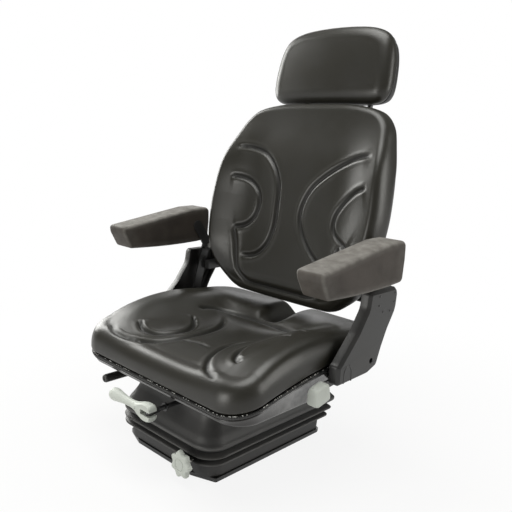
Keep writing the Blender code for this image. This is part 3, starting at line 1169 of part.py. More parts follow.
def recliner_lever():
    """The recliner's release lever: a flat bar with a moulded paddle."""
    z = SEAT_Z + LEVER_RISE
    outer = BRACKET_X - GAP
    inner = outer - LEVER_WALL
    ends = (LEVER_Y, z), (PADDLE_Y + LEVER_END, SEAT_Z + PADDLE_RISE)
    wide, slim = LEVER_RADII
    bar = plate("recliner_lever", stadium(*ends, wide, slim, 6), inner, outer, "painted_steel")
    cut(bar, rod("hole", (inner - GAP, LEVER_Y, z), (outer + GAP, LEVER_Y, z), LEVER_PIN_RADIUS + RUNNING))
    pin = stepped_pin("recliner_lever_pin", 1, LEVER_Y, z, inner - GAP - LEVER_PIN_HEAD, BRACKET_X + BRACKET_WALL + GAP,
                      LEVER_PIN_RADIUS, LEVER_PIN_HEAD, 0.0, head_radius=LEVER_PIN_HEAD_RADIUS)
    half = PADDLE_LENGTH / 2
    tall = PADDLE_HEIGHT / 2
    turn = Matrix.Rotation(PADDLE_SLOPE, 2)
    corners = []
    for u, v, radius in ((-half, -tall * 0.62, 0.010), (-half * 0.55, -tall, 0.010), (half, -tall, 0.006),
                         (half, tall, 0.008), (-half * 0.7, tall, 0.012)):
        place = turn @ Vector((u, v))
        corners.append((PADDLE_Y + place.x, SEAT_Z + PADDLE_RISE + place.y, radius))
    paddle = plate("recliner_paddle", rounded(corners), inner + GAP, inner + PADDLE_WIDTH, "grey_plastic")
    bevel(paddle, 0.003, 2, 40)
    slot = plate("slot", stadium(*ends, wide + GAP, slim + GAP, 6), inner - GAP, outer + GAP)
    cut(paddle, slot)
    return bar, pin, paddle


def cover_outline(inset=0.0):
    """The outline of a side cover, from its foot beside the pan up to the armrest."""
    z = SEAT_Z
    points = [(0.013, 0.038, 0.008), (0.132, 0.040, 0.010), (0.162, 0.050, 0.014), (0.182, 0.092, 0.03),
              (0.196, 0.132, 0.03), (0.220, 0.172, 0.03), (0.222, 0.212, 0.03), (0.214, 0.219, 0.006),
              (0.117, 0.219, 0.006), (0.109, 0.184, 0.03), (0.077, 0.145, 0.03), (0.020, 0.081, 0.006),
              (0.013, 0.078, 0.004)]
    corners = [Vector((y, z + rise)) for y, rise, radius in points]
    moved = []
    count = len(points)
    for i, (y, rise, radius) in enumerate(points):
        before = (corners[i] - corners[i - 1]).normalized()
        after = (corners[(i + 1) % count] - corners[i]).normalized()
        normal = Vector((-before.y - after.y, before.x + after.x)).normalized()
        stretch = max(normal.dot(Vector((-before.y, before.x))), 0.5)
        place = corners[i] + normal * inset / stretch
        moved.append((place.x, place.y, max(radius - inset, 0.002)))
    return rounded(moved, 2)


def side_covers():
    """The moulded covers over the side arms, open on their inner side."""
    made = []
    for side, word in ((1, "left"), (-1, "right")):
        face = COVER_X + COVER_WIDTH
        rings = []
        for x, inset in ((COVER_X, 0.0), (face - COVER_EDGE, 0.0), (face, COVER_EDGE)):
            rings.append([(side * x, y, z) for y, z in cover_outline(inset)])
        cover = loft("side_cover_" + word, rings, "black_plastic")
        hollow = plate("hollow", cover_outline(COVER_WALL), side * (COVER_X - GAP), side * (face - COVER_WALL))
        axis = RECLINE_Y, RECLINE_Z
        hole = rod("bolt_hole", (side * (COVER_X - GAP), *axis), (side * (face + GAP), *axis), COVER_HOLE_RADIUS)
        y, z = crossbar_place()
        window_half = GUSSET_HALF_HEIGHT + COVER_PLAY
        window = block("gusset_window", (side * (COVER_X - GAP), ARM_PIVOT_Y, z - window_half),
                       (side * (COVER_X + GUSSET_DEPTH_IN_COVER), y + COVER_REACH, z + window_half))
        slot_half = SIDE_ARM_HEAD_RADIUS + COVER_SLOT_PLAY
        slot = block("arm_slot", (side * (SIDE_ARM_X - GAP), ARM_PIVOT_Y - slot_half, ARM_PIVOT_Z - COVER_SLOT_DROP),
                     (side * (SIDE_ARM_X + SIDE_ARM_WALL + GAP), ARM_PIVOT_Y + slot_half, ARM_PIVOT_Z + COVER_SLOT_RISE))
        cut(cover, hollow, hole, window, slot)
        made.append(cover)
    return made


def pad_outline():
    """The side view of an armrest pad, with its bowed underside."""
    low = SEAT_Z + PAD_BOTTOM_RISE
    front, rear = PAD_FRONT_Y, PAD_REAR_Y
    length = rear - front
    points = [(front + 0.022, low, 0.006)]
    for k in (1, 2, 3):
        share = k / 4
        points.append((front + 0.022 + (length - 0.028) * share, low - 0.004 * sin(pi * share), 0.0))
    points += [(rear - 0.006, low, 0.008), (rear, low + PAD_REAR_HEIGHT, 0.012),
               (rear - length * 0.20, low + PAD_REAR_HEIGHT * 0.98, 0.0),
               (front, low + PAD_FRONT_HEIGHT, 0.010), (front + 0.004, low + PAD_FRONT_HEIGHT * 0.62, 0.0)]
    return rounded(points, 4)


def armrests():
    """The pads with the plates, studs and bolts that carry them."""
    made = []
    pivot = (ARM_PIVOT_Y, ARM_PIVOT_Z)
    fixing = (ARM_PAD_FIX_Y, SEAT_Z + ARM_PAD_FIX_RISE)
    for side, word in ((1, "left"), (-1, "right")):
        pad = plate("armrest_pad_" + word, pad_outline(), side * PAD_X, side * (PAD_X + PAD_WIDTH), "foam_skin")
        bevel(pad, 0.006, 2, 50)
        near, far = ARM_PLATE_X, ARM_PLATE_X + ARM_PLATE_WALL
        arm = plate("armrest_plate_" + word, stadium(pivot, fixing, ARM_PLATE_RADIUS, ARM_PLATE_RADIUS),
                    side * near, side * far, "painted_steel")
        stud = rod("stud", (side * (far - WELD_SINK), *fixing), (side * (PAD_X + 0.030), *fixing), ARM_STUD_RADIUS)
        weld(arm, stud)
        cut(arm, rod("hole", (side * (near - 0.01), *pivot), (side * (far + 0.01), *pivot), ARM_BOLT_RADIUS + RUNNING))
        cut(pad, rod("socket", (side * (PAD_X - 0.01), *fixing), (side * (PAD_X + 0.0305), *fixing),
                     ARM_STUD_RADIUS + GAP))
        bolt = stepped_pin("armrest_bolt_" + word, side, *pivot, near - 0.0025, SIDE_ARM_X + SIDE_ARM_WALL + 0.0035,
                           ARM_BOLT_RADIUS, 0.002, 0.003)
        made.append((pad, arm, bolt))
    return made


# Headrest

def headrest_ring(inset, behind):
    """A ring round the headrest at one depth, wider below its middle."""
    low = HEADREST_FOOT + inset
    high = HEADREST_FOOT + HEADREST_HEIGHT - inset
    wide = HEADREST_HALF_WIDTH - inset
    corners = [(wide * 0.92, low, 0.032), (wide, low + 0.050, 0.06), (wide * 0.88, high, 0.052),
               (-wide * 0.88, high, 0.052), (-wide, low + 0.050, 0.06), (-wide * 0.92, low, 0.032)]
    return [on_back(x, v, -behind) for x, v in rounded(corners, 4)]


def headrest():
    """The headrest's cushion and shell, and the bent post bar that carries them."""
    front = HEADREST_BEHIND
    seam = front + HEADREST_DEPTH
    cushion = loft("headrest_cushion",
                   [headrest_ring(inset, behind) for inset, behind in
                    ((0.030, seam - 0.001), (0.006, seam), (0.001, seam - 0.006), (0.000, seam - 0.020),
                     (0.007, front + 0.008), (0.022, front), (0.050, front - 0.004), (0.075, front - 0.005))],
                   "black_vinyl")
    start = seam + 0.0015
    shell = loft("headrest_shell",
                 [headrest_ring(inset, start + HEADREST_SHELL * share) for inset, share in
                  ((0.006, 0.0), (0.008, 0.45), (0.020, 0.85), (0.045, 1.0))], "black_plastic", False, True)
    thicken(shell, SHELL_WALL)
    top = HEADREST_FOOT + HEADREST_HEIGHT * 0.55
    corners = rounded([(POST_X, POST_FOOT, 0), (POST_X, top, 0.018), (-POST_X, top, 0.018), (-POST_X, POST_FOOT, 0)], 4)
    posts = bent_tube("headrest_posts", [on_back(x, v, -POST_BEHIND) for x, v in corners], POST_RADIUS,
                      "painted_steel", resolution=2)
    for side in (1, -1):
        cut(shell, rod("post_hole", on_back(side * POST_X, HEADREST_FOOT - 0.03, -POST_BEHIND),
                       on_back(side * POST_X, HEADREST_FOOT + 0.03, -POST_BEHIND), POST_RADIUS + GAP))
    return cushion, shell, posts


def main():
    """Build the seat from the floor up and hang each moving piece on its joint."""
    lower_frame()
    knob, knob_shaft = star_knob()
    suspension = joint("suspension_travel_axis", (0, 0, LOWER_PIVOT_Z))
    outer, inner, shafts, pins, rollers = scissors()
    outer_axis = joint("scissor_outer_axis", (0, SCISSOR_REAR_Y, LOWER_PIVOT_Z))
    inner_axis = joint("scissor_inner_axis", (0, SCISSOR_REAR_Y, UPPER_PIVOT_Z), suspension)
    carry(outer_axis, outer, *pins)
    carry(inner_axis, inner)
    for (pair, word), roller in rollers.items():
        z = UPPER_PIVOT_Z if pair == "upper" else LOWER_PIVOT_Z
        axis = joint("roller_" + pair + "_" + word + "_axis", (0, SCISSOR_FRONT_Y, z),
                     outer_axis if pair == "upper" else inner_axis)
        carry(axis, roller)
    damper_body, damper_rod, _, upper_pin, foot, _ = damper()
    damper_axis = joint("damper_swing_axis", foot)
    carry(damper_axis, damper_body, damper_rod)
    bellows()
    springs()
    carry(suspension, upper_frame(), shafts[1], upper_pin)
    knob_axis = joint("star_knob_axis", (KNOB_X, KNOB_FRONT_Y, KNOB_Z))
    carry(knob_axis, knob, knob_shaft)
    shaft, handle, pin, fold = crank()
    crank_axis = joint("crank_axis", (CRANK_X, CRANK_FRONT_Y, UPPER_TOP_Z + CRANK_RISE), suspension)
    carry(crank_axis, shaft, pin)
    fold_axis = joint("crank_fold_axis", fold, crank_axis)
    carry(fold_axis, handle)
    fixed, sliding = slide_rails()
    carry(suspension, *fixed)
    slide = joint("seat_slide_axis", (0, 0, RAIL_Z), suspension)
    bar, grip = rail_lever()
    lever_axis = joint("rail_lever_axis", (-RAIL_X, RAIL_LEVER_PIVOT_Y, RAIL_LEVER_LIFT), slide)
    carry(lever_axis, bar, grip)
    carry(slide, seat_pan(), seat_trim(), seat_cushion(), *sliding, *recliner_brackets(), *recline_bolts())
    lever, lever_pin, paddle = recliner_lever()
    carry(slide, lever_pin)
    recliner_axis = joint("recliner_lever_axis", (BRACKET_X, LEVER_Y, SEAT_Z + LEVER_RISE), slide)
    carry(recliner_axis, lever, paddle)
    recline = joint("backrest_recline_axis", (0, RECLINE_Y, RECLINE_Z), slide)
    carry(recline, back_cushion(), back_shell(), back_frame(), *headrest_guides(), *side_covers())
    for (pad, arm, bolt), word in zip(armrests(), ("left", "right")):
        axis = joint("armrest_" + word + "_axis", (ARM_PLATE_X, ARM_PIVOT_Y, ARM_PIVOT_Z), recline)
        carry(axis, pad, arm)
        carry(recline, bolt)
    height = joint("headrest_height_axis", on_back(0, HEADREST_FOOT, -POST_BEHIND), recline)
    carry(height, *headrest())
    print("Scissor angle at the top", round(degrees(asin(SCISSOR_RISE / SCISSOR_LENGTH)), 3), "degrees")


main()
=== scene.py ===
"""Looks of a tractor suspension seat: vinyl cushions, moulded covers, folded bellows and grey controls.

Metres, +Z up. The occupant faces -Y, and the occupant's left is +X. Every piece lies where its solid lies.
"""
import logging
import math
from collections.abc import Callable, Mapping, Sequence
from dataclasses import dataclass
from enum import Enum
from typing import Any

import bmesh
import bpy
import numpy as np
from mathutils import Matrix, Vector


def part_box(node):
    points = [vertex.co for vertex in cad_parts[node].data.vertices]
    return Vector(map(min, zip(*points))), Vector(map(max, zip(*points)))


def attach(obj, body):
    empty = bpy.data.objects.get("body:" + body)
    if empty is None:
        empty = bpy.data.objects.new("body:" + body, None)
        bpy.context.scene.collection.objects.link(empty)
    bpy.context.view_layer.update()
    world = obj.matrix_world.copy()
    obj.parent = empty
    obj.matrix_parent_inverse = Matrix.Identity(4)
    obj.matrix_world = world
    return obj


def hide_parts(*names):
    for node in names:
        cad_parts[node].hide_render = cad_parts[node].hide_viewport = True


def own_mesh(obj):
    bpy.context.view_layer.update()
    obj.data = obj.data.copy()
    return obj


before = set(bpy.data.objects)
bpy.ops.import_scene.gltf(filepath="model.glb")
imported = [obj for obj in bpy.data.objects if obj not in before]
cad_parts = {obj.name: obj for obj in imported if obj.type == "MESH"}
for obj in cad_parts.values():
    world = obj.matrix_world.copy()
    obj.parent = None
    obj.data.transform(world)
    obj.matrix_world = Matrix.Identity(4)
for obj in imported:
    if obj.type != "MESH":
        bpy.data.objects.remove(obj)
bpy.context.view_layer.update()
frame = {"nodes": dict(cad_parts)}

Array = np.ndarray
Colour = tuple[float, float, float]
log = logging.getLogger("suspension_seat")

SIDES = (("left", 1.0), ("right", -1.0))
FULL_TURN = 2 * math.pi
SHARP_EDGE = 40.0           # edges steeper than this many degrees stay sharp
CUT_EDGE = 35.0             # the same, on a piece that was cut
FINE_OUTLINE = 960          # points of an outline before it is set out evenly
STREAK_SHARE = 0.08         # how much a streaked finish is drawn out along Y
COAT_ROUGHNESS = 0.12
PAINTED_FOLD_SHADE_SHARE = 0.90         # how much of its painted shade a full fold shows
PAINTED_FOLD_SHADE_TONE = 0.20          # that painted shade, as a share of the finish's colour
WEAR_AND_PAINTED_LIGHT_CELLS = 60.0           # noise cells per metre in the paler patches of wear and painted light
WEAR_AND_PAINTED_LIGHT_GAIN = 1.3


class Body(str, Enum):
    """The moving bodies that the pieces ride on."""

    BASE = "base"
    KNOB = "knob"
    UPPER = "upper"
    CRANK = "crank"
    CRANK_GRIP = "crank_grip"
    SEAT = "seat"
    RAIL_RELEASE = "rail_release"
    RECLINER_RELEASE = "recliner_release"
    BACK = "back"
    ARMREST_LEFT = "armrest_left"
    ARMREST_RIGHT = "armrest_right"
    HEADREST = "headrest"


class Grain(Enum):
    """The surface texture of a finish: size of its cells in metres, and depth of its relief in metres."""

    LEATHER = (0.0013, 0.00022)
    FOAM = (0.0009, 0.00030)
    MOULDED = (0.0006, 0.00006)
    RUBBER = (0.0020, 0.00012)
    BRUSHED = (0.0004, 0.00004)
    SMOOTH = (0.0080, 0.00003)


# Shader graph

class Wire:
    """An output socket of a shader graph, on which plain arithmetic adds Math nodes."""

    def __init__(self, graph: "Graph", socket: bpy.types.NodeSocket) -> None:
        """Keep the graph and the socket."""
        self.graph = graph
        self.socket = socket

    def _math(self, operation: str, first: Any, second: Any) -> "Wire":
        """Add one Math node."""
        return self.graph.node("ShaderNodeMath", {"operation": operation}, {0: first, 1: second})

    def __add__(self, other: Any) -> "Wire":
        """Return self + other."""
        return self._math("ADD", self, other)

    def __radd__(self, other: Any) -> "Wire":
        """Return other + self."""
        return self._math("ADD", other, self)

    def __sub__(self, other: Any) -> "Wire":
        """Return self - other."""
        return self._math("SUBTRACT", self, other)

    def __mul__(self, other: Any) -> "Wire":
        """Return self * other."""
        return self._math("MULTIPLY", self, other)


class Graph:
    """The node tree of one material, with its Principled shader."""

    def __init__(self, material: bpy.types.Material) -> None:
        """Start from the material's own shader.

        Args:
            material: the material to dress.
        """
        material.use_nodes = True
        self.tree = material.node_tree
        self.shader = self.tree.nodes["Principled BSDF"]

    def node(self, kind: str, settings: Mapping[str, Any] | None = None,
             inputs: Mapping[int | str, Any] | None = None, output: int | str = 0) -> Wire:
        """Add a node.

        Args:
            kind: Blender's name of the node's type.
            settings: the node's own settings.
            inputs: values or wires by socket.
            output: the socket to return.

        Returns:
            The wire of that output.
        """
        made = self.tree.nodes.new(kind)
        for name, value in (settings or {}).items():
            setattr(made, name, value)
        for name, value in (inputs or {}).items():
            if isinstance(value, Wire):
                self.tree.links.new(value.socket, made.inputs[name])
            else:
                made.inputs[name].default_value = value
        return Wire(self, made.outputs[output])

    def feed(self, name: str, wire: Wire) -> None:
        """Lead a wire to a socket of the Principled shader."""
        self.tree.links.new(wire.socket, self.shader.inputs[name])

    def mix(self, factor: Any, first: Any, second: Any) -> Wire:
        """Mix two colours by a factor."""
        return self.node("ShaderNodeMix", {"data_type": "RGBA"}, {0: factor, 6: first, 7: second}, 2)

    def noise(self, vector: Wire, scale: float, detail: float = 3.0) -> Wire:
        """Return noise between 0 and 1 at a scale given as cells per metre."""
        return self.node("ShaderNodeTexNoise", None, {"Vector": vector, "Scale": scale, "Detail": detail})


@dataclass(frozen=True)
class Finish:
    """One surface finish, made as a procedural material.

    Colours are linear. Shade is the second tone that drifts over the surface. Where the point attribute
    is above zero, in folds and grooves, the colour darkens as painted shade. Where it is below zero, the colour
    turns to the paler tone wear_and_painted_light: wear on rubbed edges, a paler tone on the bellows' lips,
    painted highlights on the channels' lips and the armrests' tops, and a painted reflection on the pan's sides.
    """

    name: str
    colour: Colour
    shade: Colour
    roughness: float
    grain: Grain
    metallic: float = 0.0
    coat: float = 0.0
    drift: float = 9.0
    wear_and_painted_light: Colour | None = None
    streaks: bool = False
    specular: float = 0.5

    def material(self) -> bpy.types.Material:
        """Make the material the first time that it is asked for.

        Returns:
            The material.
        """
        found = bpy.data.materials.get(self.name)
        if found:
            return found
        made = bpy.data.materials.new(self.name)
        graph = Graph(made)
        place = graph.node("ShaderNodeTexCoord", None, None, "Object")
        if self.streaks:
            place = graph.node("ShaderNodeMapping", None,
                               {"Vector": place, "Scale": (1.0, STREAK_SHARE, 1.0)})
        self._colour(graph, place)
        self._relief(graph, place)
        for name, value in (("Metallic", self.metallic), ("Coat Weight", self.coat),
                            ("Coat Roughness", COAT_ROUGHNESS), ("Specular IOR Level", self.specular)):
            graph.shader.inputs[name].default_value = value
        return made

    def _colour(self, graph: Graph, place: Wire) -> None:
        """Drive colour and roughness by slow drift, fine specks, and the point attribute that paints fold shade
        and the paler tone of wear and light.

        Args:
            graph: the material's graph.
            place: the coordinates to draw on.
        """
        slow = graph.noise(place, self.drift, 4.0)
        cloud = graph.node("ShaderNodeMapRange", {"interpolation_type": "SMOOTHSTEP"},
                           {"Value": slow, "From Min": 0.36, "From Max": 0.66})
        tone = graph.mix(cloud, (*self.colour, 1.0), (*self.shade, 1.0))
        crease = graph.node("ShaderNodeAttribute", {"attribute_name": "crease"}, None, "Fac")
        clamped = {"operation": "MULTIPLY", "use_clamp": True}
        # Painted shade: folds and grooves darken towards a share of the colour, and turn rougher.
        deep = graph.node("ShaderNodeMath", clamped, {0: crease, 1: PAINTED_FOLD_SHADE_SHARE})
        painted_fold_shade = tuple(PAINTED_FOLD_SHADE_TONE * part for part in self.colour)
        tone = graph.mix(deep, tone, (*painted_fold_shade, 1.0))
        # The paler tone where the attribute is below zero: wear on rubbed edges, painted highlights and a painted
        # reflection, in noisy patches.
        if self.wear_and_painted_light:
            raised = graph.node("ShaderNodeMath", clamped, {0: crease, 1: -1.0})
            wear_and_painted_light_patches = raised * graph.noise(place, WEAR_AND_PAINTED_LIGHT_CELLS, 5.0) * WEAR_AND_PAINTED_LIGHT_GAIN
            tone = graph.mix(wear_and_painted_light_patches, tone, (*self.wear_and_painted_light, 1.0))
        graph.feed("Base Color", tone)
        fine = graph.noise(place, 1.0 / (4.0 * self.grain.value[0]), 2.0)
        graph.feed("Roughness", self.roughness + (fine - 0.5) * 0.10 + (cloud - 0.5) * 0.06 + deep * 0.25)

    def _relief(self, graph: Graph, place: Wire) -> None:
        """Give the surface its grain.

        Args:
            graph: the material's graph.
            place: the coordinates to draw on.
        """
        size, depth = self.grain.value
        cells = graph.node("ShaderNodeTexVoronoi", {"feature": "SMOOTH_F1"},
                           {"Vector": place, "Scale": 1.0 / size, "Smoothness": 0.6})
        height = cells * 0.7 + graph.noise(place, 0.6 / size, 2.0) * 0.5
        graph.feed("Normal", graph.node("ShaderNodeBump", None,
                                        {"Strength": 0.5, "Distance": depth, "Height": height}, "Normal"))


# The vinyl's paler tone is a painted highlight, in patches, on the lips beside its channels.
VINYL = Finish("seat_vinyl", (0.0172, 0.0160, 0.0120), (0.0142, 0.0133, 0.0100), 0.36, Grain.LEATHER,
               wear_and_painted_light=(0.036, 0.034, 0.029))
# The foam skin's paler tone is wear on the pads' edges and a painted highlight on their tops.
FOAM_SKIN = Finish("skinned_foam", (0.047, 0.0380, 0.0310), (0.033, 0.0265, 0.0215), 0.66, Grain.FOAM,
                   wear_and_painted_light=(0.205, 0.197, 0.182), drift=14.0, specular=0.40)
MATT_PLASTIC = Finish("matt_moulding", (0.022, 0.022, 0.022), (0.028, 0.027, 0.026), 0.42, Grain.MOULDED,
                      wear_and_painted_light=(0.10, 0.10, 0.10))
# The gloss moulding's paler tone is a painted reflection on the pan's sides.
GLOSS_PLASTIC = Finish("gloss_moulding", (0.012, 0.0100, 0.0085), (0.009, 0.0078, 0.0065), 0.20, Grain.SMOOTH,
                       coat=0.4, wear_and_painted_light=(0.24, 0.24, 0.24))
RUBBER = Finish("folded_rubber", (0.024, 0.024, 0.024), (0.031, 0.030, 0.029), 0.50, Grain.RUBBER,
                wear_and_painted_light=(0.085, 0.083, 0.080))
GREY_PLASTIC = Finish("grey_moulding", (0.520, 0.548, 0.510), (0.470, 0.497, 0.460), 0.50, Grain.MOULDED,
                      wear_and_painted_light=(0.66, 0.69, 0.65))
BLACK_PAINT = Finish("gloss_paint", (0.018, 0.018, 0.019), (0.024, 0.024, 0.024), 0.36, Grain.SMOOTH, coat=0.2)
ZINC = Finish("zinc_plate", (0.52, 0.52, 0.50), (0.42, 0.41, 0.38), 0.30, Grain.BRUSHED, metallic=1.0,
              streaks=True)
NYLON = Finish("natural_nylon", (0.64, 0.62, 0.56), (0.58, 0.56, 0.50), 0.45, Grain.SMOOTH)


# Curves and meshes

def smooth_values(table: Sequence[tuple[float, float]], places: Array) -> Array:
    """Read a table of (place, value) as one smooth curve.

    Args:
        table: points with rising places.
        places: where to read it.

    Returns:
        The values there, held beyond both ends.
    """
    knots, values = np.array(table, float).T
    slopes = np.gradient(values, knots)
    index = np.clip(np.searchsorted(knots, places) - 1, 0, len(knots) - 2)
    span = knots[index + 1] - knots[index]
    share = np.clip((places - knots[index]) / span, 0.0, 1.0)
    square, cube = share ** 2, share ** 3
    return ((2 * cube - 3 * square + 1) * values[index] + (cube - 2 * square + share) * span * slopes[index]
            + (3 * square - 2 * cube) * values[index + 1] + (cube - square) * span * slopes[index + 1])


def resample(line: Array, count: int, closed: bool) -> Array:
    """Set points at even distances along a line.

    Args:
        line: the line's points.
        count: how many points to return.
        closed: whether the last point leads to the first.

    Returns:
        The new points.
    """
    whole = np.vstack([line, line[:1]]) if closed else line
    steps = np.linalg.norm(np.diff(whole, axis=0), axis=1)
    run = np.concatenate([[0.0], np.cumsum(steps)])
    wanted = np.linspace(0.0, run[-1], count + 1)[:-1] if closed else np.linspace(0.0, run[-1], count)
    return np.stack([np.interp(wanted, run, whole[:, axis]) for axis in range(line.shape[1])], axis=1)


def smooth_line(points: Sequence[Sequence[float]], count: int, closed: bool = False) -> Array:
    """Draw a smooth curve through points, at even distances.

    Args:
        points: the places that the curve passes.
        count: how many points to return.
        closed: whether the last point leads to the first.

    Returns:
        The curve's points.
    """
    marks = np.array(points, float)
    if closed:
        padded = np.vstack([marks[-1:], marks, marks[:2]])
    else:
        padded = np.vstack([2 * marks[0] - marks[1], marks, 2 * marks[-1] - marks[-2]])
    pieces = []
    share = np.linspace(0.0, 1.0, 25)[:-1, None]
    for a, b, c, d in zip(padded, padded[1:], padded[2:], padded[3:]):
        pieces.append(0.5 * (2 * b + (c - a) * share + (2 * a - 5 * b + 4 * c - d) * share ** 2
                             + (3 * b - a - 3 * c + d) * share ** 3))
    if not closed:
        pieces.append(marks[-1:])
    return resample(np.vstack(pieces), count, closed)


def rounded(corners: Sequence[tuple[float, float, float]], steps: int = 8) -> Array:
    """Round an outline's corners.

    Args:
        corners: (u, v, radius) of each corner, in order.
        steps: pieces of each arc.

    Returns:
        The outline's points.
    """
    outline = []
    for index, (u, v, radius) in enumerate(corners):
        here = Vector((u, v))
        before = Vector(corners[index - 1][:2]) - here
        after = Vector(corners[(index + 1) % len(corners)][:2]) - here
        if radius <= 0:
            outline.append((u, v))
            continue
        half = before.angle(after) / 2
        reach = min(radius / math.tan(half), 0.49 * before.length, 0.49 * after.length)
        radius = reach * math.tan(half)
        start, end = here + before.normalized() * reach, here + after.normalized() * reach
        centre = here + (before.normalized() + after.normalized()).normalized() * (radius / math.sin(half))
        first = math.atan2(start.y - centre.y, start.x - centre.x)
        turn = math.atan2(end.y - centre.y, end.x - centre.x) - first
        turn = (turn + math.pi) % (2 * math.pi) - math.pi
        for step in range(steps + 1):
            angle = first + turn * step / steps
            outline.append((centre.x + radius * math.cos(angle), centre.y + radius * math.sin(angle)))
    return np.array(outline)


def outward(outline: Array) -> Array:
    """Find which way a closed outline faces.

    Args:
        outline: its points, counter-clockwise.

    Returns:
        The outward unit normal at each point.
    """
    along = np.roll(outline, -1, axis=0) - np.roll(outline, 1, axis=0)
    normal = np.stack([along[:, 1], -along[:, 0]], axis=1)
    return normal / np.linalg.norm(normal, axis=1)[:, None]


def started(outline: Array, spot: tuple[float, float], count: int) -> Array:
    """Set points at even distances round a closed outline, from the one nearest to a spot."""
    first = np.argmin(np.hypot(outline[:, 0] - spot[0], outline[:, 1] - spot[1]))
    return resample(np.roll(outline, -first, axis=0), count, True)


def mirrored(half: Sequence[tuple[float, float]], spot: tuple[float, float], count: int,
             inset: float) -> Array:
    """Draw a smooth outline from its right half.

    Args:
        half: the points at positive u, from the bottom up.
        spot: a place near the lower right corner, where the outline starts.
        count: how many points to return.
        inset: how far the outline is set in.

    Returns:
        The outline's points, counter-clockwise.
    """
    right = np.array(half)
    whole = np.vstack([right, right[::-1] * np.array([-1.0, 1.0])])
    ring = started(smooth_line(whole, FINE_OUTLINE, True), spot, count)
    return ring - outward(ring) * inset


def shrunk(outline: Array, scale: float) -> Array:
    """Scale an outline towards its middle."""
    middle = outline.mean(axis=0)
    return middle + (outline - middle) * scale


def at_x(x: float, outline: Array) -> Array:
    """Stand an outline of (y, z) at one place along X."""
    return np.column_stack([np.full(len(outline), x), outline])


def distance_to(line: Array, places: Array) -> tuple[Array, Array, Array]:
    """Measure how far places lie from a line.

    Args:
        line: points close together.
        places: the places to measure from.

    Returns:
        The distances, how far along the line the nearest point is, from 0 to 1, and which side each place is
        on, 1 on the left of the line's direction and -1 on its right.
    """
    best = np.full(len(places), np.inf)
    nearest = np.zeros(len(places), int)
    for index, point in enumerate(line):
        away = np.hypot(places[:, 0] - point[0], places[:, 1] - point[1])
        nearer = away < best
        best[nearer] = away[nearer]
        nearest[nearer] = index
    along = np.gradient(line, axis=0)[nearest]
    offset = places[:, :2] - line[nearest]
    side = np.sign(along[:, 0] * offset[:, 1] - along[:, 1] * offset[:, 0])
    return best, nearest / (len(line) - 1), side


def put(name: str, data: bpy.types.ID) -> bpy.types.Object:
    """Put a new object in the scene.

    Args:
        name: its name.
        data: its mesh, camera or lamp data.

    Returns:
        The object.
    """
    made = bpy.data.objects.new(name, data)
    bpy.context.scene.collection.objects.link(made)
    return made


def points_of(piece: bpy.types.Object) -> Array:
    """Return the places of a piece's points."""
    return np.array([vertex.co for vertex in piece.data.vertices])


def make_piece(name: str, points: Sequence[Sequence[float]], faces: Sequence[Sequence[int]], finish: Finish,
               sharp: float = SHARP_EDGE) -> bpy.types.Object:
    """Make a mesh object with its faces turned outwards.

    Args:
        name: the piece's name.
        points: corner places.
        faces: corner numbers of each face.
        finish: its surface.
        sharp: edges steeper than this many degrees stay sharp.

    Returns:
        The object.
    """
    shape = bmesh.new()
    corners = [shape.verts.new(point) for point in points]
    for face in faces:
        shape.faces.new([corners[index] for index in face])
    return piece_from(shape, name, finish, sharp)


def piece_from(shape: bmesh.types.BMesh, name: str, finish: Finish,
               sharp: float = SHARP_EDGE) -> bpy.types.Object:
    """Turn a bmesh into a finished object.

    Args:
        shape: the bmesh, which is freed.
        name: the piece's name.
        finish: its surface.
        sharp: edges steeper than this many degrees stay sharp.

    Returns:
        The object.
    """
    bmesh.ops.recalc_face_normals(shape, faces=shape.faces)
    mesh = bpy.data.meshes.new(name)
    shape.to_mesh(mesh)
    shape.free()
    mesh.shade_smooth()
    mesh.set_sharp_from_angle(angle=math.radians(sharp))
    mesh.materials.append(finish.material())
    return put(name, mesh)


def loft(name: str, rings: Sequence[Array], finish: Finish, ends: tuple[bool, bool] = (True, True),
         sharp: float = SHARP_EDGE) -> bpy.types.Object:
    """Draw a skin through rings of points with the same count.

    Args:
        name: the piece's name.
        rings: arrays of points; a last ring equal to the first closes the skin on itself.
        finish: its surface.
        ends: whether the first and the last ring are closed.
        sharp: edges steeper than this many degrees stay sharp.

    Returns:
        The object.
    """
    count = len(rings[0])
    closed = len(rings) > 2 and np.array_equal(rings[0], rings[-1])
    points = np.vstack(rings[:-1] if closed else rings)
    faces: list[list[int]] = []
    last = len(rings) - 1
    for row in range(last):
        low, high = row * count, 0 if closed and row == last - 1 else (row + 1) * count
        for index in range(count):
            after = (index + 1) % count
            faces.append([low + index, low + after, high + after, high + index])
    if ends[0]:
        faces.append(list(range(count)))
    if ends[1]:
        faces.append(list(range(len(points) - count, len(points))))
    return make_piece(name, points.tolist(), faces, finish, sharp)


def unit_circle(steps: int) -> list[tuple[float, float]]:
    """Return the points of a circle of radius 1."""
    return [(math.cos(FULL_TURN * k / steps), math.sin(FULL_TURN * k / steps)) for k in range(steps)]


def turned(name: str, profile: Array, start: Vector, axis: Vector, finish: Finish,
           steps: int = 48) -> bpy.types.Object:
    """Turn a profile of (radius, distance) round an axis.

    Args:
        name: the piece's name.
        profile: points from one end to the other, starting and ending at radius zero where it is closed.
        start: the axis's zero point.
        axis: its direction.
        finish: its surface.
        steps: segments round the axis.

    Returns:
        The object.
    """
    turn = Vector(axis).to_track_quat("Z", "Y").to_matrix()
    least = 0.00001
    circle = unit_circle(steps)
    rings = []
    for radius, along in profile:
        radius = max(radius, least)
        rings.append(np.array([start + turn @ Vector((radius * u, radius * v, along)) for u, v in circle]))
    return loft(name, rings, finish)


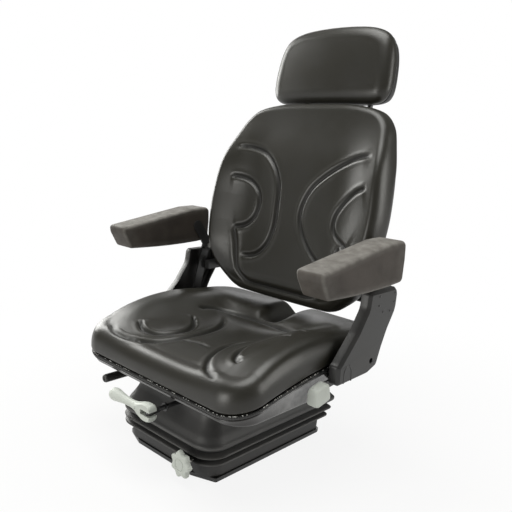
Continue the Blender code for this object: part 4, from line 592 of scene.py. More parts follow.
def tube(name: str, line: Array, radius: float, finish: Finish, sides: int = 16,
         closed: bool = False) -> bpy.types.Object:
    """Draw a round bar along a line.

    Args:
        name: the piece's name.
        line: the centre line's points.
        radius: the bar's radius.
        finish: its surface.
        sides: faces round the bar.
        closed: whether the line is a loop.

    Returns:
        The object.
    """
    count = len(line)
    circle = unit_circle(sides)
    rings = []
    side = Vector((0.0, 0.0, 1.0))
    for index in range(count):
        ahead = line[(index + 1) % count] if closed else line[min(index + 1, count - 1)]
        behind = line[index - 1] if closed else line[max(index - 1, 0)]
        along = Vector(ahead - behind).normalized()
        side = (side - along * side.dot(along)).normalized()
        other = along.cross(side)
        rings.append(np.array([Vector(line[index]) + radius * (u * side + v * other) for u, v in circle]))
    if closed:
        rings.append(rings[0])
    return loft(name, rings, finish, (not closed, not closed))


def rounded_slab(name: str, outline: Array, start: float, end: float, radius: float, finish: Finish,
                 steps: int = 6, dome: float = 0.0) -> bpy.types.Object:
    """Make a slab across X from a side outline of (y, z), with its edges rounded.

    Args:
        name: the piece's name.
        outline: the side view, counter-clockwise.
        start: the slab's inner face.
        end: its outer face.
        radius: the edges' radius.
        finish: its surface.
        steps: pieces of each rounding.
        dome: how far the middle of each face stands proud.

    Returns:
        The object.
    """
    normal = outward(outline)
    middle = outline.mean(axis=0)
    sign = 1.0 if end > start else -1.0
    sections = []
    for step in range(steps + 1):
        angle = math.pi / 2 * step / steps
        sections.append((start + sign * radius * (1 - math.sin(angle)), radius * (1 - math.cos(angle))))
    front = [(end - (x - start), inset) for x, inset in sections]
    rings = []
    for x, inset in list(reversed(sections)) + front:
        rings.append(at_x(x, outline - normal * inset))
    for x, push in ((start, -sign), (end, sign)):
        pair = []
        for share in (0.75, 0.45, 0.15):
            flat = middle + (outline - normal * radius - middle) * share
            pair.append(at_x(x + push * dome * (1 - share ** 2), flat))
        rings = list(reversed(pair)) + rings if push == -sign else rings + pair
    return loft(name, rings, finish)


def apply_modifiers(piece: bpy.types.Object) -> bpy.types.Object:
    """Turn a piece's modifiers into its own mesh.

    Args:
        piece: the piece.

    Returns:
        The same piece.
    """
    bpy.context.view_layer.update()
    source = piece.evaluated_get(bpy.context.evaluated_depsgraph_get())
    mesh = bpy.data.meshes.new_from_object(source)
    piece.modifiers.clear()
    piece.data = mesh
    return piece


def thicken(piece: bpy.types.Object, wall: float) -> bpy.types.Object:
    """Give an open skin its wall, inwards.

    Args:
        piece: the skin.
        wall: the wall's thickness.

    Returns:
        The same piece.
    """
    step = piece.modifiers.new("wall", "SOLIDIFY")
    step.thickness = wall
    step.offset = -1.0
    step.use_even_offset = False
    return apply_modifiers(piece)


def cut(piece: bpy.types.Object, *tools: bpy.types.Object, operation: str = "DIFFERENCE") -> bpy.types.Object:
    """Cut tools out of a piece, or weld them on, and remove the tools.

    Args:
        piece: the piece.
        tools: the blocks to cut with.
        operation: DIFFERENCE to cut, UNION to weld.

    Returns:
        The same piece.
    """
    for tool in tools:
        step = piece.modifiers.new("cut", "BOOLEAN")
        step.operation = operation
        step.solver = "EXACT"
        step.object = tool
        apply_modifiers(piece)
        bpy.data.objects.remove(tool, do_unlink=True)
    piece.data.shade_smooth()
    piece.data.set_sharp_from_angle(angle=math.radians(CUT_EDGE))
    return piece


def store(piece: bpy.types.Object, values: Array) -> None:
    """Keep each point's painted shade and paler tone: above zero for painted shade in a fold, below zero for the
    paler tone of wear and painted light.
    """
    made = piece.data.attributes.new("crease", "FLOAT", "POINT")
    made.data.foreach_set("value", values.astype(np.float32))


def settle(piece: bpy.types.Object, body: Body, slot: str, *nodes: str) -> bpy.types.Object:
    """Ride a piece on its body in place of its solids.

    Args:
        piece: the piece.
        body: what carries it.
        slot: the name of a material slot; not used.
        nodes: the solids that it stands for.

    Returns:
        The piece.
    """
    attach(piece, body.value)
    if nodes:
        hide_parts(*nodes)
    log.info("%s rides on %s with %d faces", piece.name, body.value, len(piece.data.polygons))
    return piece


# Repeated details

@dataclass
class Studs:
    """A Geometry Nodes tree that sets small rounded studs along a path or on single points.

    Attributes:
        spacing: distance between studs along the path, or zero to use the path's own points.
        size: length along the path, width across it and height of a stud.
    """

    name: str
    spacing: float
    size: tuple[float, float, float]

    def _tree(self) -> bpy.types.NodeTree:
        """Build the tree with its named inputs.

        Returns:
            The tree.
        """
        tree = bpy.data.node_groups.new(self.name + "_tree", "GeometryNodeTree")
        for name, kind in (("Geometry", "Geometry"), ("Spacing", "Float"), ("Size", "Vector"),
                           ("Finish", "Material")):
            tree.interface.new_socket(name, in_out="INPUT", socket_type="NodeSocket" + kind)
        tree.interface.new_socket("Geometry", in_out="OUTPUT", socket_type="NodeSocketGeometry")
        add = tree.nodes.new
        start, end = add("NodeGroupInput"), add("NodeGroupOutput")
        ball = add("GeometryNodeMeshIcoSphere")
        ball.inputs["Radius"].default_value = 0.5
        ball.inputs["Subdivisions"].default_value = 2
        place, scatter = add("GeometryNodeTransform"), add("GeometryNodeInstanceOnPoints")
        real, dress, shade = (add("GeometryNodeRealizeInstances"), add("GeometryNodeSetMaterial"),
                              add("GeometryNodeSetShadeSmooth"))
        facing = add("GeometryNodeInputNamedAttribute")
        facing.data_type = "FLOAT_VECTOR"
        facing.inputs["Name"].default_value = "facing"
        link = tree.links.new
        link(ball.outputs["Mesh"], place.inputs["Geometry"])
        link(start.outputs["Size"], place.inputs["Scale"])
        link(place.outputs["Geometry"], scatter.inputs["Instance"])
        align = add("FunctionNodeAlignRotationToVector")
        align.axis = "Z"
        link(facing.outputs["Attribute"], align.inputs["Vector"])
        if self.spacing > 0:
            curve, spread = add("GeometryNodeMeshToCurve"), add("GeometryNodeResampleCurve")
            spread.mode = "LENGTH"
            tangent, turn = add("GeometryNodeInputTangent"), add("FunctionNodeAlignRotationToVector")
            turn.axis = "X"
            turn.pivot_axis = "Z"
            link(start.outputs["Geometry"], curve.inputs["Mesh"])
            link(curve.outputs["Curve"], spread.inputs["Curve"])
            link(start.outputs["Spacing"], spread.inputs["Length"])
            link(spread.outputs["Curve"], scatter.inputs["Points"])
            link(align.outputs["Rotation"], turn.inputs["Rotation"])
            link(tangent.outputs["Tangent"], turn.inputs["Vector"])
            link(turn.outputs["Rotation"], scatter.inputs["Rotation"])
        else:
            link(start.outputs["Geometry"], scatter.inputs["Points"])
            link(align.outputs["Rotation"], scatter.inputs["Rotation"])
        link(scatter.outputs["Instances"], real.inputs["Geometry"])
        link(real.outputs["Geometry"], shade.inputs[0])
        link(shade.outputs[0], dress.inputs["Geometry"])
        link(start.outputs["Finish"], dress.inputs["Material"])
        link(dress.outputs["Geometry"], end.inputs["Geometry"])
        return tree

    def along(self, line: Array, facing: Array, finish: Finish, closed: bool = False) -> bpy.types.Object:
        """Set the studs.

        Args:
            line: the path's points, or the studs' own places.
            facing: the direction of a stud's height at each point.
            finish: their surface.
            closed: whether the path is a loop.

        Returns:
            One mesh object with all the studs.
        """
        count = len(line)
        mesh = bpy.data.meshes.new(self.name)
        edges = [(k, k + 1) for k in range(count - 1)] + ([(count - 1, 0)] if closed else [])
        mesh.from_pydata(line.tolist(), edges if self.spacing > 0 else [], [])
        mesh.attributes.new("facing", "FLOAT_VECTOR", "POINT").data.foreach_set("vector", facing.ravel())
        made = put(self.name, mesh)
        tree = self._tree()
        step = made.modifiers.new("studs", "NODES")
        step.node_group = tree
        values = {"Spacing": self.spacing, "Size": self.size, "Finish": finish.material()}
        for item in tree.interface.items_tree:
            if item.in_out == "INPUT" and item.name in values:
                step[item.identifier] = values[item.name]
        return apply_modifiers(made)


# Cushions

def eased(values: Array) -> Array:
    """Rise smoothly from 0 to 1, level at both ends."""
    share = np.clip(values, 0.0, 1.0)
    return share ** 3 * (share * (6 * share - 15) + 10)


@dataclass
class Channel:
    """A pressed channel in a cushion's face.

    Attributes:
        points: the places that its middle line passes.
        depth: how deep it is pressed.
        half_width: half its width.
        fade: the share of its length over which each end rises to the surface.
        lips: how far the surface stands proud close beside it, as a share of the depth.
        swell: how far the pad on its left swells, as a share of the depth; below zero on its right.
    """

    points: Sequence[tuple[float, float]]
    depth: float = 0.0056
    half_width: float = 0.0045
    fade: float = 0.06
    lips: float = 0.14
    swell: float = 0.0

    def relief(self, places: Array) -> tuple[Array, Array]:
        """Measure what the channel does to the face.

        Args:
            places: the places to measure at.

        Returns:
            The height change at each place, and its painted tone: above zero for painted shade in the groove,
            below zero for a paler painted highlight on the lips.
        """
        away, along, side = distance_to(smooth_line(self.points, 220), places)
        ends = np.clip(np.minimum(along, 1.0 - along) / self.fade, 0.0, 1.0)
        ends = ends * ends * (3 - 2 * ends)
        share = away / self.half_width
        pressed = np.exp(-share ** 2 * 0.9)
        lifted = self.lips * np.exp(-((share - 2.5) / 1.2) ** 2)
        padded = abs(self.swell) * (side * self.swell > 0) * (1 - np.exp(-(share / 1.6) ** 2))
        padded = padded * np.exp(-(share / 7.0) ** 2)
        # The groove takes painted shade, and the lifted lips a paler painted highlight.
        return self.depth * ends * (lifted + padded - pressed), ends * (pressed - 0.8 * lifted)


@dataclass
class Pillow:
    """A moulded cushion: a rolled side band round an outline, and a crown on a grid drawn to that outline.

    Attributes:
        outline: the widest outline, counter-clockwise from its lower right corner.
        cells: grid cells across and along.
        roll: how far the side band reaches in from the outline.
        tuck: how far the foot of the band is drawn in at the seam.
        seam: height of the seam at each place.
        crown: height of the face at each place.
        place: turns (u, v, height) into a point of the model.
        channels: the channels pressed in the face.
        squareness: power of the roll's section, 2 for a round one.
        lowest_share: share of the band's height that stands upright below the roll.
        under: how far the band reaches below the seam.
        foot_steps: rings of the upright part.
        roll_steps: rings of the roll.
    """

    outline: Array
    cells: tuple[int, int]
    roll: float
    tuck: float
    seam: Callable[[Array], Array]
    crown: Callable[[Array], Array]
    place: Callable[[Array, Array], Array]
    channels: Sequence[Channel]
    squareness: float = 2.3
    lowest_share: float = 0.16
    under: float = 0.012
    foot_steps: int = 5
    roll_steps: int = 16

    def _band(self) -> list[tuple[Array, Array, float]]:
        """Lay out the side band.

        Returns:
            Its rings from the foot up, each as places, heights and the share of the channels that it takes.
        """
        normal = outward(self.outline)
        top = self.crown(self.outline - normal * self.roll)
        seam = self.seam(self.outline)
        rings = []
        inner = self.outline - normal * (self.tuck + 0.012)
        rings.append((inner, seam - self.under, 0.0))
        for step in range(self.foot_steps):
            share = step / self.foot_steps
            inset = self.tuck * (1 - math.sin(math.pi / 2 * share))
            rise = self.lowest_share * share
            rings.append((self.outline - normal * inset, seam + (top - seam) * rise, 0.0))
        power = 2 / self.squareness
        for step in range(self.roll_steps + 1):
            angle = math.pi / 2 * step / self.roll_steps
            inset = self.roll * (1 - math.cos(angle) ** power) if step < self.roll_steps else self.roll
            rise = self.lowest_share + (1 - self.lowest_share) * math.sin(angle) ** power
            rings.append((self.outline - normal * inset, seam + (top - seam) * rise, math.sin(angle) ** 6))
        return rings

    def _grid(self) -> tuple[Array, list[list[int]], list[int]]:
        """Draw the crown's grid to the outline.

        Returns:
            The grid's places, its faces and the numbers of its rim, in the outline's order.
        """
        across, along = self.cells
        rim = self.outline - outward(self.outline) * self.roll
        rim_closed = np.vstack([rim, rim[:1]])
        middle = rim.mean(axis=0)
        b, a = np.meshgrid(np.linspace(-1, 1, along + 1), np.linspace(-1, 1, across + 1))
        a, b = a.ravel(), b.ravel()
        size = np.maximum(np.maximum(abs(a), abs(b)), 1e-9)
        u, v = a / size, b / size
        right, left, high = u > 1 - 1e-9, u < -1 + 1e-9, v > 1 - 1e-9
        run = np.where(right, (v + 1) / 2 * along, np.where(
            high, along + (1 - u) / 2 * across, np.where(
                left, along + across + (1 - v) / 2 * along, 2 * along + across + (u + 1) / 2 * across)))
        knots = np.arange(len(rim_closed))
        edge = np.stack([np.interp(run, knots, rim_closed[:, axis]) for axis in (0, 1)], axis=1)
        places = middle + (edge - middle) * size[:, None]
        row = along + 1
        faces = [[i * row + j, (i + 1) * row + j, (i + 1) * row + j + 1, i * row + j + 1]
                 for i in range(across) for j in range(along)]
        border = ([across * row + j for j in range(along)] + [i * row + along for i in range(across, 0, -1)]
                  + [j for j in range(along, 0, -1)] + [i * row for i in range(across)])
        return places, faces, border

    def build(self, name: str, finish: Finish) -> bpy.types.Object:
        """Make the cushion as one closed mesh, with the point attribute that paints shade in its grooves and
        highlights on their lips.

        Args:
            name: the piece's name.
            finish: its surface.

        Returns:
            The cushion.
        """
        places, faces, border = self._grid()
        heights = self.crown(places)
        weight = np.ones(len(places))
        band = self._band()[:-1]
        count = len(self.outline)
        start = len(places)
        for ring, height, share in band:
            places = np.vstack([places, ring])
            heights = np.concatenate([heights, height])
            weight = np.concatenate([weight, np.full(count, share)])
        # Channels store painted shade in their grooves and a paler painted highlight on their lips.
        crease = np.zeros(len(places))
        for channel in self.channels:
            change, fold = channel.relief(places)
            heights = heights + change * weight
            crease += fold * weight
        rows = [list(range(start + k * count, start + (k + 1) * count)) for k in range(len(band))] + [border]
        for low, high in zip(rows, rows[1:]):
            faces += [[low[k], low[(k + 1) % count], high[(k + 1) % count], high[k]] for k in range(count)]
        faces.append(list(reversed(rows[0])))
        piece = make_piece(name, self.place(places, heights).tolist(), faces, finish, 60.0)
        store(piece, crease)
        return piece


@dataclass
class SeatShape:
    """The seat's outline and the heights that its pan, trim and cushion share."""

    corner: float = 0.062
    draft: float = 0.006
    seam_rise: Sequence[tuple[float, float]] = (
        (-0.230, 0.013), (-0.150, 0.031), (-0.060, 0.048), (0.040, 0.060), (0.150, 0.066), (0.270, 0.062))

    def __post_init__(self) -> None:
        """Read the seat's size from the pan's solid."""
        low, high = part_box("seat_pan")
        self.half_width, self.front, self.rear, self.floor = high.x, low.y, high.y, low.z

    def ring(self, inset: float, count: int) -> Array:
        """Draw the outline.

        Args:
            inset: how far it is set in.
            count: how many points to return.

        Returns:
            The points, from the front right corner.
        """
        x, front, rear = self.half_width - inset, self.front + inset, self.rear - inset
        radius = max(self.corner - inset, 0.010)
        quarter = math.sqrt(0.5) * radius
        corners = [(x, front, radius), (x, rear, radius), (-x, rear, radius), (-x, front, radius)]
        return started(rounded(corners, 24), (x - radius + quarter, front + radius - quarter), count)

    def seam(self, places: Array) -> Array:
        """Return the seam's height."""
        return self.floor + smooth_values(self.seam_rise, places[:, 1])


@dataclass
class SeatCushion:
    """The seat's cushion: high sides, a dished middle, pressed arcs and a split at the back."""

    shape: SeatShape
    crest_x: float = 0.205
    side_crest: Sequence[tuple[float, float]] = (
        (-0.225, 0.066), (-0.185, 0.084), (-0.136, 0.106), (-0.064, 0.124), (0.013, 0.130), (0.126, 0.121),
        (0.200, 0.113), (0.262, 0.098))
    middle_crest: Sequence[tuple[float, float]] = (
        (-0.225, 0.064), (-0.185, 0.076), (-0.130, 0.083), (-0.050, 0.082), (0.060, 0.077), (0.112, 0.077),
        (0.126, 0.083), (0.145, 0.095), (0.175, 0.105), (0.205, 0.1085), (0.232, 0.1075), (0.262, 0.097))
    notch_half_width: float = 0.031
    notch_front: float = 0.118
    notch_length: float = 0.055
    notch_depth: float = 0.042
    cells: tuple[int, int] = (210, 190)
    overhang: float = 0.005
    roll: float = 0.042
    tuck: float = 0.010
    seam_lift: float = 0.0075
    squareness: float = 2.5
    channels: Sequence[Channel] = (
        Channel(((-0.208, -0.176), (-0.165, -0.196), (-0.120, -0.194), (-0.078, -0.180), (-0.048, -0.158),
                 (-0.031, -0.125), (-0.026, -0.080), (-0.029, -0.035), (-0.041, 0.010), (-0.062, 0.045),
                 (-0.096, 0.078)), fade=0.12, swell=0.35),
        Channel(((-0.158, -0.132), (-0.126, -0.148), (-0.095, -0.146), (-0.072, -0.130), (-0.060, -0.102),
                 (-0.062, -0.066), (-0.082, -0.032), (-0.116, -0.004)), depth=0.0058, swell=0.40),
        Channel(((-0.034, -0.134), (-0.010, -0.112), (0.022, -0.101), (0.062, -0.106)), depth=0.0030, fade=0.3),
        Channel(((0.204, 0.040), (0.168, 0.030), (0.134, 0.016), (0.104, -0.004), (0.084, -0.032),
                 (0.078, -0.070), (0.088, -0.113), (0.103, -0.148), (0.126, -0.176), (0.152, -0.194),
                 (0.186, -0.206)), swell=0.35),
        Channel(((0.200, -0.010), (0.174, -0.022), (0.155, -0.041), (0.144, -0.066), (0.142, -0.092),
                 (0.150, -0.118), (0.166, -0.138), (0.188, -0.146)), depth=0.0058, swell=0.40),
        Channel(((-0.136, 0.026), (-0.134, 0.058), (-0.122, 0.088), (-0.096, 0.110), (-0.052, 0.121),
                 (0.000, 0.124), (0.052, 0.121), (0.104, 0.113), (0.150, 0.098)),
                depth=0.0064, half_width=0.0046, lips=0.0))

    def crown(self, places: Array) -> Array:
        """Shape the face.

        Args:
            places: the places to measure at.

        Returns:
            The face's height at each.
        """
        x, y = abs(places[:, 0]), places[:, 1]
        share = np.clip(x / self.crest_x, 0.0, 1.0)
        side, middle = smooth_values(self.side_crest, y), smooth_values(self.middle_crest, y)
        rise = (1 - np.cos(math.pi * share ** 1.7)) / 2
        into = eased((y - self.notch_front) / self.notch_length)
        across = np.exp(-(x / self.notch_half_width) ** 2.6)
        return self.shape.floor + middle + (side - middle) * rise - self.notch_depth * into * across

    def build(self) -> bpy.types.Object:
        """Make the cushion.

        Returns:
            Its piece.
        """
        outline = self.shape.ring(-self.overhang, 2 * sum(self.cells))
        pillow = Pillow(outline, self.cells, self.roll, self.tuck,
                        lambda places: self.shape.seam(places) + self.seam_lift, self.crown,
                        lambda places, heights: np.column_stack([places, heights]), self.channels,
                        squareness=self.squareness)
        piece = settle(pillow.build("seat_cushion_cover", VINYL), Body.SEAT, "black_vinyl", "seat_cushion")
        return piece


@dataclass
class SeatPan:
    """The glossy pan below the cushion, and the ribbed strip clipped over its rim."""

    shape: SeatShape
    wall: float = 0.0025
    trim_height: float = 0.007
    trim_width: float = 0.006
    trim_inset: float = 0.0025
    foot_rows: Sequence[tuple[float, float]] = (
        (0.016, 0.0), (0.011, 0.0005), (0.0080, 0.002), (0.0065, 0.004), (0.0060, 0.007))
    rear_inset: float = 0.034
    rear_rise: float = 0.026
    count: int = 240
    staple_places: int = 760
    staple_share: float = 0.24

    def at_seam(self, inset: float, rise: float, count: int) -> Array:
        """Return a ring that follows the seam's height."""
        ring = self.shape.ring(inset, count)
        return np.column_stack([ring, self.shape.seam(self.shape.ring(0.0, count)) + rise])

    def build(self) -> None:
        """Make the pan, the strip, its ribs and the staples above it."""
        count, floor = self.count, self.shape.floor
        whole = self.foot_rows[-1][1]
        rings = []
        for inset, rise in self.foot_rows:
            ring = self.shape.ring(inset, count)
            lifted = eased((ring[:, 1] - 0.010) / 0.090)
            ring = ring - outward(ring) * (self.rear_inset * (1 - rise / whole) * lifted)[:, None]
            rings.append(np.column_stack([ring, floor + rise + self.rear_rise * (rise / whole) * lifted]))
        rings += [self.at_seam(self.shape.draft * 0.4, -0.006, count), self.at_seam(0.0, -0.003, count)]
        pan = thicken(loft("seat_pan_shell", rings, GLOSS_PLASTIC, (True, False), 50.0), self.wall)
        places = points_of(pan)
        # Painted reflection: the pan's sides turn paler towards the rear.
        store(pan, -0.9 * eased((abs(places[:, 0]) - 0.235) / 0.024) * eased((places[:, 1] + 0.190) / 0.16))
        settle(pan, Body.SEAT, "gloss_black", "seat_pan")
        edge = self.trim_width - self.trim_inset
        profile = rounded([(-self.trim_inset, 0.0, 0.0012), (edge, 0.0, 0.0008),
                           (edge, self.trim_height, 0.0012), (-0.0020, self.trim_height, 0.0025)], 3)
        rows = [self.at_seam(inset, rise, count) for inset, rise in profile]
        strip = loft("seat_rim_strip", rows + rows[:1], MATT_PLASTIC, (False, False), 50.0)
        settle(strip, Body.SEAT, "black_plastic", "seat_edge_trim")
        line = self.at_seam(-0.0026, self.trim_height * 0.62, count)
        facing = np.column_stack([outward(line[:, :2]), np.zeros(count)])
        ribs = Studs("seat_rim_ribs", 0.0048, (0.0022, 0.0050, 0.0016)).along(line, facing, MATT_PLASTIC, True)
        settle(ribs, Body.SEAT, "black_plastic")
        line = self.at_seam(-0.0022, self.trim_height + 0.0006, self.staple_places)
        chosen = np.random.default_rng(7).random(self.staple_places) < self.staple_share
        facing = np.column_stack([outward(line[:, :2]), np.full(self.staple_places, 0.35)])
        staples = Studs("seat_rim_staples", 0.0, (0.0030, 0.0022, 0.0018))
        staples = staples.along(line[chosen], facing[chosen], ZINC)
        settle(staples, Body.SEAT, "zinc_steel")


@dataclass
class BackPlane:
    """The back's leaning plane: across, up along it, and in front of it."""

    tilt: float = math.radians(11.7)
    foot_y: float = 0.149
    foot_z: float = 0.302

    def place(self, places: Array, front: Array) -> Array:
        """Turn places on the plane into points.

        Args:
            places: (across, up) of each.
            front: how far each stands in front of the plane.

        Returns:
            The points.
        """
        up = places[:, 1]
        y = self.foot_y + up * math.sin(self.tilt) - front * math.cos(self.tilt)
        z = self.foot_z + up * math.cos(self.tilt) + front * math.sin(self.tilt)
        return np.column_stack([places[:, 0], y, z])


@dataclass
class BackRest:
    """The back: its cushion with side bolsters, the moulded shell behind it and the edging between them."""

    plane: BackPlane
    half_outline: Sequence[tuple[float, float]] = (
        (0.105, -0.0005), (0.152, 0.004), (0.186, 0.022), (0.226, 0.058), (0.250, 0.110), (0.261, 0.172),
        (0.264, 0.243), (0.254, 0.335), (0.237, 0.398), (0.222, 0.437), (0.197, 0.466), (0.164, 0.481),
        (0.110, 0.490), (0.050, 0.492))
    seam_table: Sequence[tuple[float, float]] = (
        (0.000, 0.048), (0.060, 0.040), (0.170, 0.030), (0.270, 0.030), (0.360, 0.040), (0.440, 0.052),
        (0.4915, 0.058))
    rear_table: Sequence[tuple[float, float]] = (
        (0.000, 0.094), (0.070, 0.100), (0.200, 0.108), (0.340, 0.116), (0.440, 0.1185), (0.4915, 0.1180))
    shell_rings: Sequence[tuple[float, float]] = (
        (0.0, 1.0), (0.0, 1.0), (0.002, 1.0), (0.006, 1.0), (0.012, 1.0), (0.020, 0.968), (0.030, 0.928),
        (0.042, 0.87), (0.050, 0.80), (0.054, 0.70), (0.055, 0.56), (0.055, 0.38), (0.055, 0.18))
    start: tuple[float, float] = (0.205, 0.038)
    top: float = 0.4915
    bolster: float = 0.034
    cells: tuple[int, int] = (200, 180)
    roll: float = 0.022
    shell_inset: float = 0.016
    shell_round: float = 0.055
    shell_wall: float = 0.003
    channels: Sequence[Channel] = (
        Channel(((-0.212, 0.366), (-0.165, 0.368), (-0.116, 0.357), (-0.076, 0.326), (-0.051, 0.281),
                 (-0.043, 0.231), (-0.041, 0.172), (-0.055, 0.127), (-0.087, 0.097), (-0.140, 0.086)),
                swell=-0.35),
        Channel(((-0.206, 0.287), (-0.172, 0.288), (-0.140, 0.279), (-0.113, 0.256), (-0.103, 0.226),
                 (-0.111, 0.192), (-0.136, 0.167), (-0.174, 0.155)), swell=-0.40),
        Channel(((0.216, 0.365), (0.173, 0.358), (0.132, 0.341), (0.091, 0.314), (0.056, 0.281),
                 (0.037, 0.240), (0.036, 0.202), (0.052, 0.167), (0.080, 0.133), (0.114, 0.106),
                 (0.142, 0.090)), swell=0.35),
        Channel(((0.222, 0.292), (0.190, 0.280), (0.161, 0.257), (0.140, 0.227), (0.138, 0.196), (0.156, 0.172),
                 (0.200, 0.150)), swell=0.40),
        Channel(((-0.172, 0.162), (-0.158, 0.122), (-0.150, 0.087), (-0.141, 0.058), (-0.123, 0.038),
                 (-0.101, 0.027), (-0.073, 0.025), (0.000, 0.025), (0.073, 0.025), (0.101, 0.027),
                 (0.123, 0.038), (0.141, 0.058), (0.150, 0.087), (0.158, 0.122), (0.172, 0.162)), fade=0.04))

    def outline(self, count: int, inset: float = 0.0) -> Array:
        """Return the outline, from its lower right corner."""
        return mirrored(self.half_outline, self.start, count, inset)

    def seam(self, places: Array) -> Array:
        """Return where the seam lies, as a distance in front of the plane."""
        return -smooth_values(self.seam_table, places[:, 1])

    def crown(self, places: Array) -> Array:
        """Shape the face.

        Args:
            places: (across, up) of each place.

        Returns:
            How far the face stands before the plane.
        """
        x, up = abs(places[:, 0]), places[:, 1]
        half = np.array(self.half_outline)
        wide = np.interp(up, half[:, 1], half[:, 0])
        sides = eased((x / wide - 0.40) / 0.70) * eased(up / 0.14) * eased((self.top - up) / 0.22)
        return self.bolster * sides - 0.014 * eased((up - 0.30) / 0.19) - 0.010 * eased((0.06 - up) / 0.06)

    def build(self) -> None:
        """Make the cushion, the shell and the edging."""
        pillow = Pillow(self.outline(2 * sum(self.cells)), self.cells, self.roll, 0.008, self.seam, self.crown,
                        self.plane.place, self.channels, under=0.004)
        cushion = settle(pillow.build("back_cushion_cover", VINYL), Body.BACK, "black_vinyl", "back_cushion")
        self._shell()
        self._edging()

    def _shell(self) -> None:
        """Make the shell with its rounded rear."""
        count = 260
        rings = []
        for reach, scale in self.shell_rings:
            flat = shrunk(self.outline(count, self.shell_inset + min(reach, 0.012)), scale)
            share = 1 - max(1 - reach / self.shell_round, 0.0) ** 2.2
            edge = -self.seam(flat) + 0.0030 + (0.010 if rings else 0.0)
            behind = edge + (smooth_values(self.rear_table, flat[:, 1]) - edge) * share
            rings.append(self.plane.place(flat, -behind))
        shell = thicken(loft("back_shell_cover", rings, MATT_PLASTIC, (False, True), 50.0), self.shell_wall)
        settle(shell, Body.BACK, "black_plastic", "back_shell")

    def _edging(self) -> None:
        """Make the piping along the seam and the laced clips behind it."""
        count = 420
        rim = self.outline(count, 0.0075)
        line = self.plane.place(rim, self.seam(self.outline(count)) - 0.0012)
        settle(tube("back_seam_piping", line, 0.0028, MATT_PLASTIC, 10, True), Body.BACK, "black_plastic")
        normal = outward(rim)
        level = np.zeros(count)
        facing = self.plane.place(normal, level) - self.plane.place(normal * 0.0, level)
        lace = self.plane.place(self.outline(count, self.shell_inset - 0.0006),
                                self.seam(self.outline(count)) - 0.0085)
        clips = Studs("back_edge_clips", 0.0075, (0.0042, 0.0058, 0.0024)).along(lace, facing, MATT_PLASTIC, True)
        settle(clips, Body.BACK, "black_plastic")
        chosen = np.random.default_rng(11).random(count) < 0.16
        staples = Studs("back_edge_staples", 0.0, (0.0036, 0.0028, 0.0030))
        staples = staples.along(lace[chosen], facing[chosen], ZINC)
        settle(staples, Body.BACK, "zinc_steel")


@dataclass
class HeadRest:
    """The headrest: a crowned cushion, its shell and the piping between them."""

    plane: BackPlane
    half_outline: Sequence[tuple[float, float]] = (
        (0.040, 0.496), (0.100, 0.496), (0.138, 0.498), (0.160, 0.506), (0.172, 0.523), (0.176, 0.546),
        (0.175, 0.580), (0.171, 0.613), (0.163, 0.641), (0.148, 0.662), (0.122, 0.6755), (0.085, 0.683),
        (0.030, 0.6865))
    shell_rings: Sequence[tuple[float, float, float]] = (
        (0.006, 1.0, 0.0), (0.0065, 1.0, 0.25), (0.008, 1.0, 0.5), (0.012, 1.0, 0.72), (0.012, 0.95, 0.87),
        (0.012, 0.89, 0.96), (0.012, 0.80, 1.0), (0.012, 0.60, 1.02), (0.012, 0.30, 1.03))
    start: tuple[float, float] = (0.163, 0.508)
    cells: tuple[int, int] = (120, 64)
    roll: float = 0.036
    front: float = -0.031
    seam_depth: float = -0.0765
    shell_depth: float = 0.0350
    shell_wall: float = 0.003

    def outline(self, count: int, inset: float = 0.0) -> Array:
        """Return the outline, from its lower right corner."""
        return mirrored(self.half_outline, self.start, count, inset)

    def crown(self, places: Array) -> Array:
        """Shape the face.

        Args:
            places: (across, up) of each place.

        Returns:
            How far the face stands before the plane.
        """
        across = places[:, 0] / 0.178
        up = (places[:, 1] - 0.590) / 0.094
        return self.front - 0.011 * across ** 2 - 0.006 * up ** 2

    def build(self) -> None:
        """Make the cushion, the shell and the piping."""
        pillow = Pillow(self.outline(2 * sum(self.cells)), self.cells, self.roll, 0.004,
                        lambda places: np.full(len(places), self.seam_depth), self.crown, self.plane.place, (),
                        squareness=2.05, lowest_share=0.3, under=0.001)
        cushion = settle(pillow.build("headrest_cover", VINYL), Body.HEADREST, "black_vinyl", "headrest_cushion")
        rings = []
        count = 200
        begin = self.seam_depth - 0.0020
        for inset, scale, share in self.shell_rings:
            flat = shrunk(self.outline(count, inset), scale)
            rings.append(self.plane.place(flat, np.full(count, begin - self.shell_depth * share)))
        skin = loft("headrest_shell_cover", rings, MATT_PLASTIC, (False, True), 50.0)
        shell = thicken(skin, self.shell_wall)
        settle(shell, Body.HEADREST, "black_plastic", "headrest_shell")
        line = self.plane.place(self.outline(300, 0.0045), np.full(300, self.seam_depth - 0.0012))
        settle(tube("headrest_piping", line, 0.0024, MATT_PLASTIC, 10, True), Body.HEADREST, "black_plastic")


# Armrests and side covers

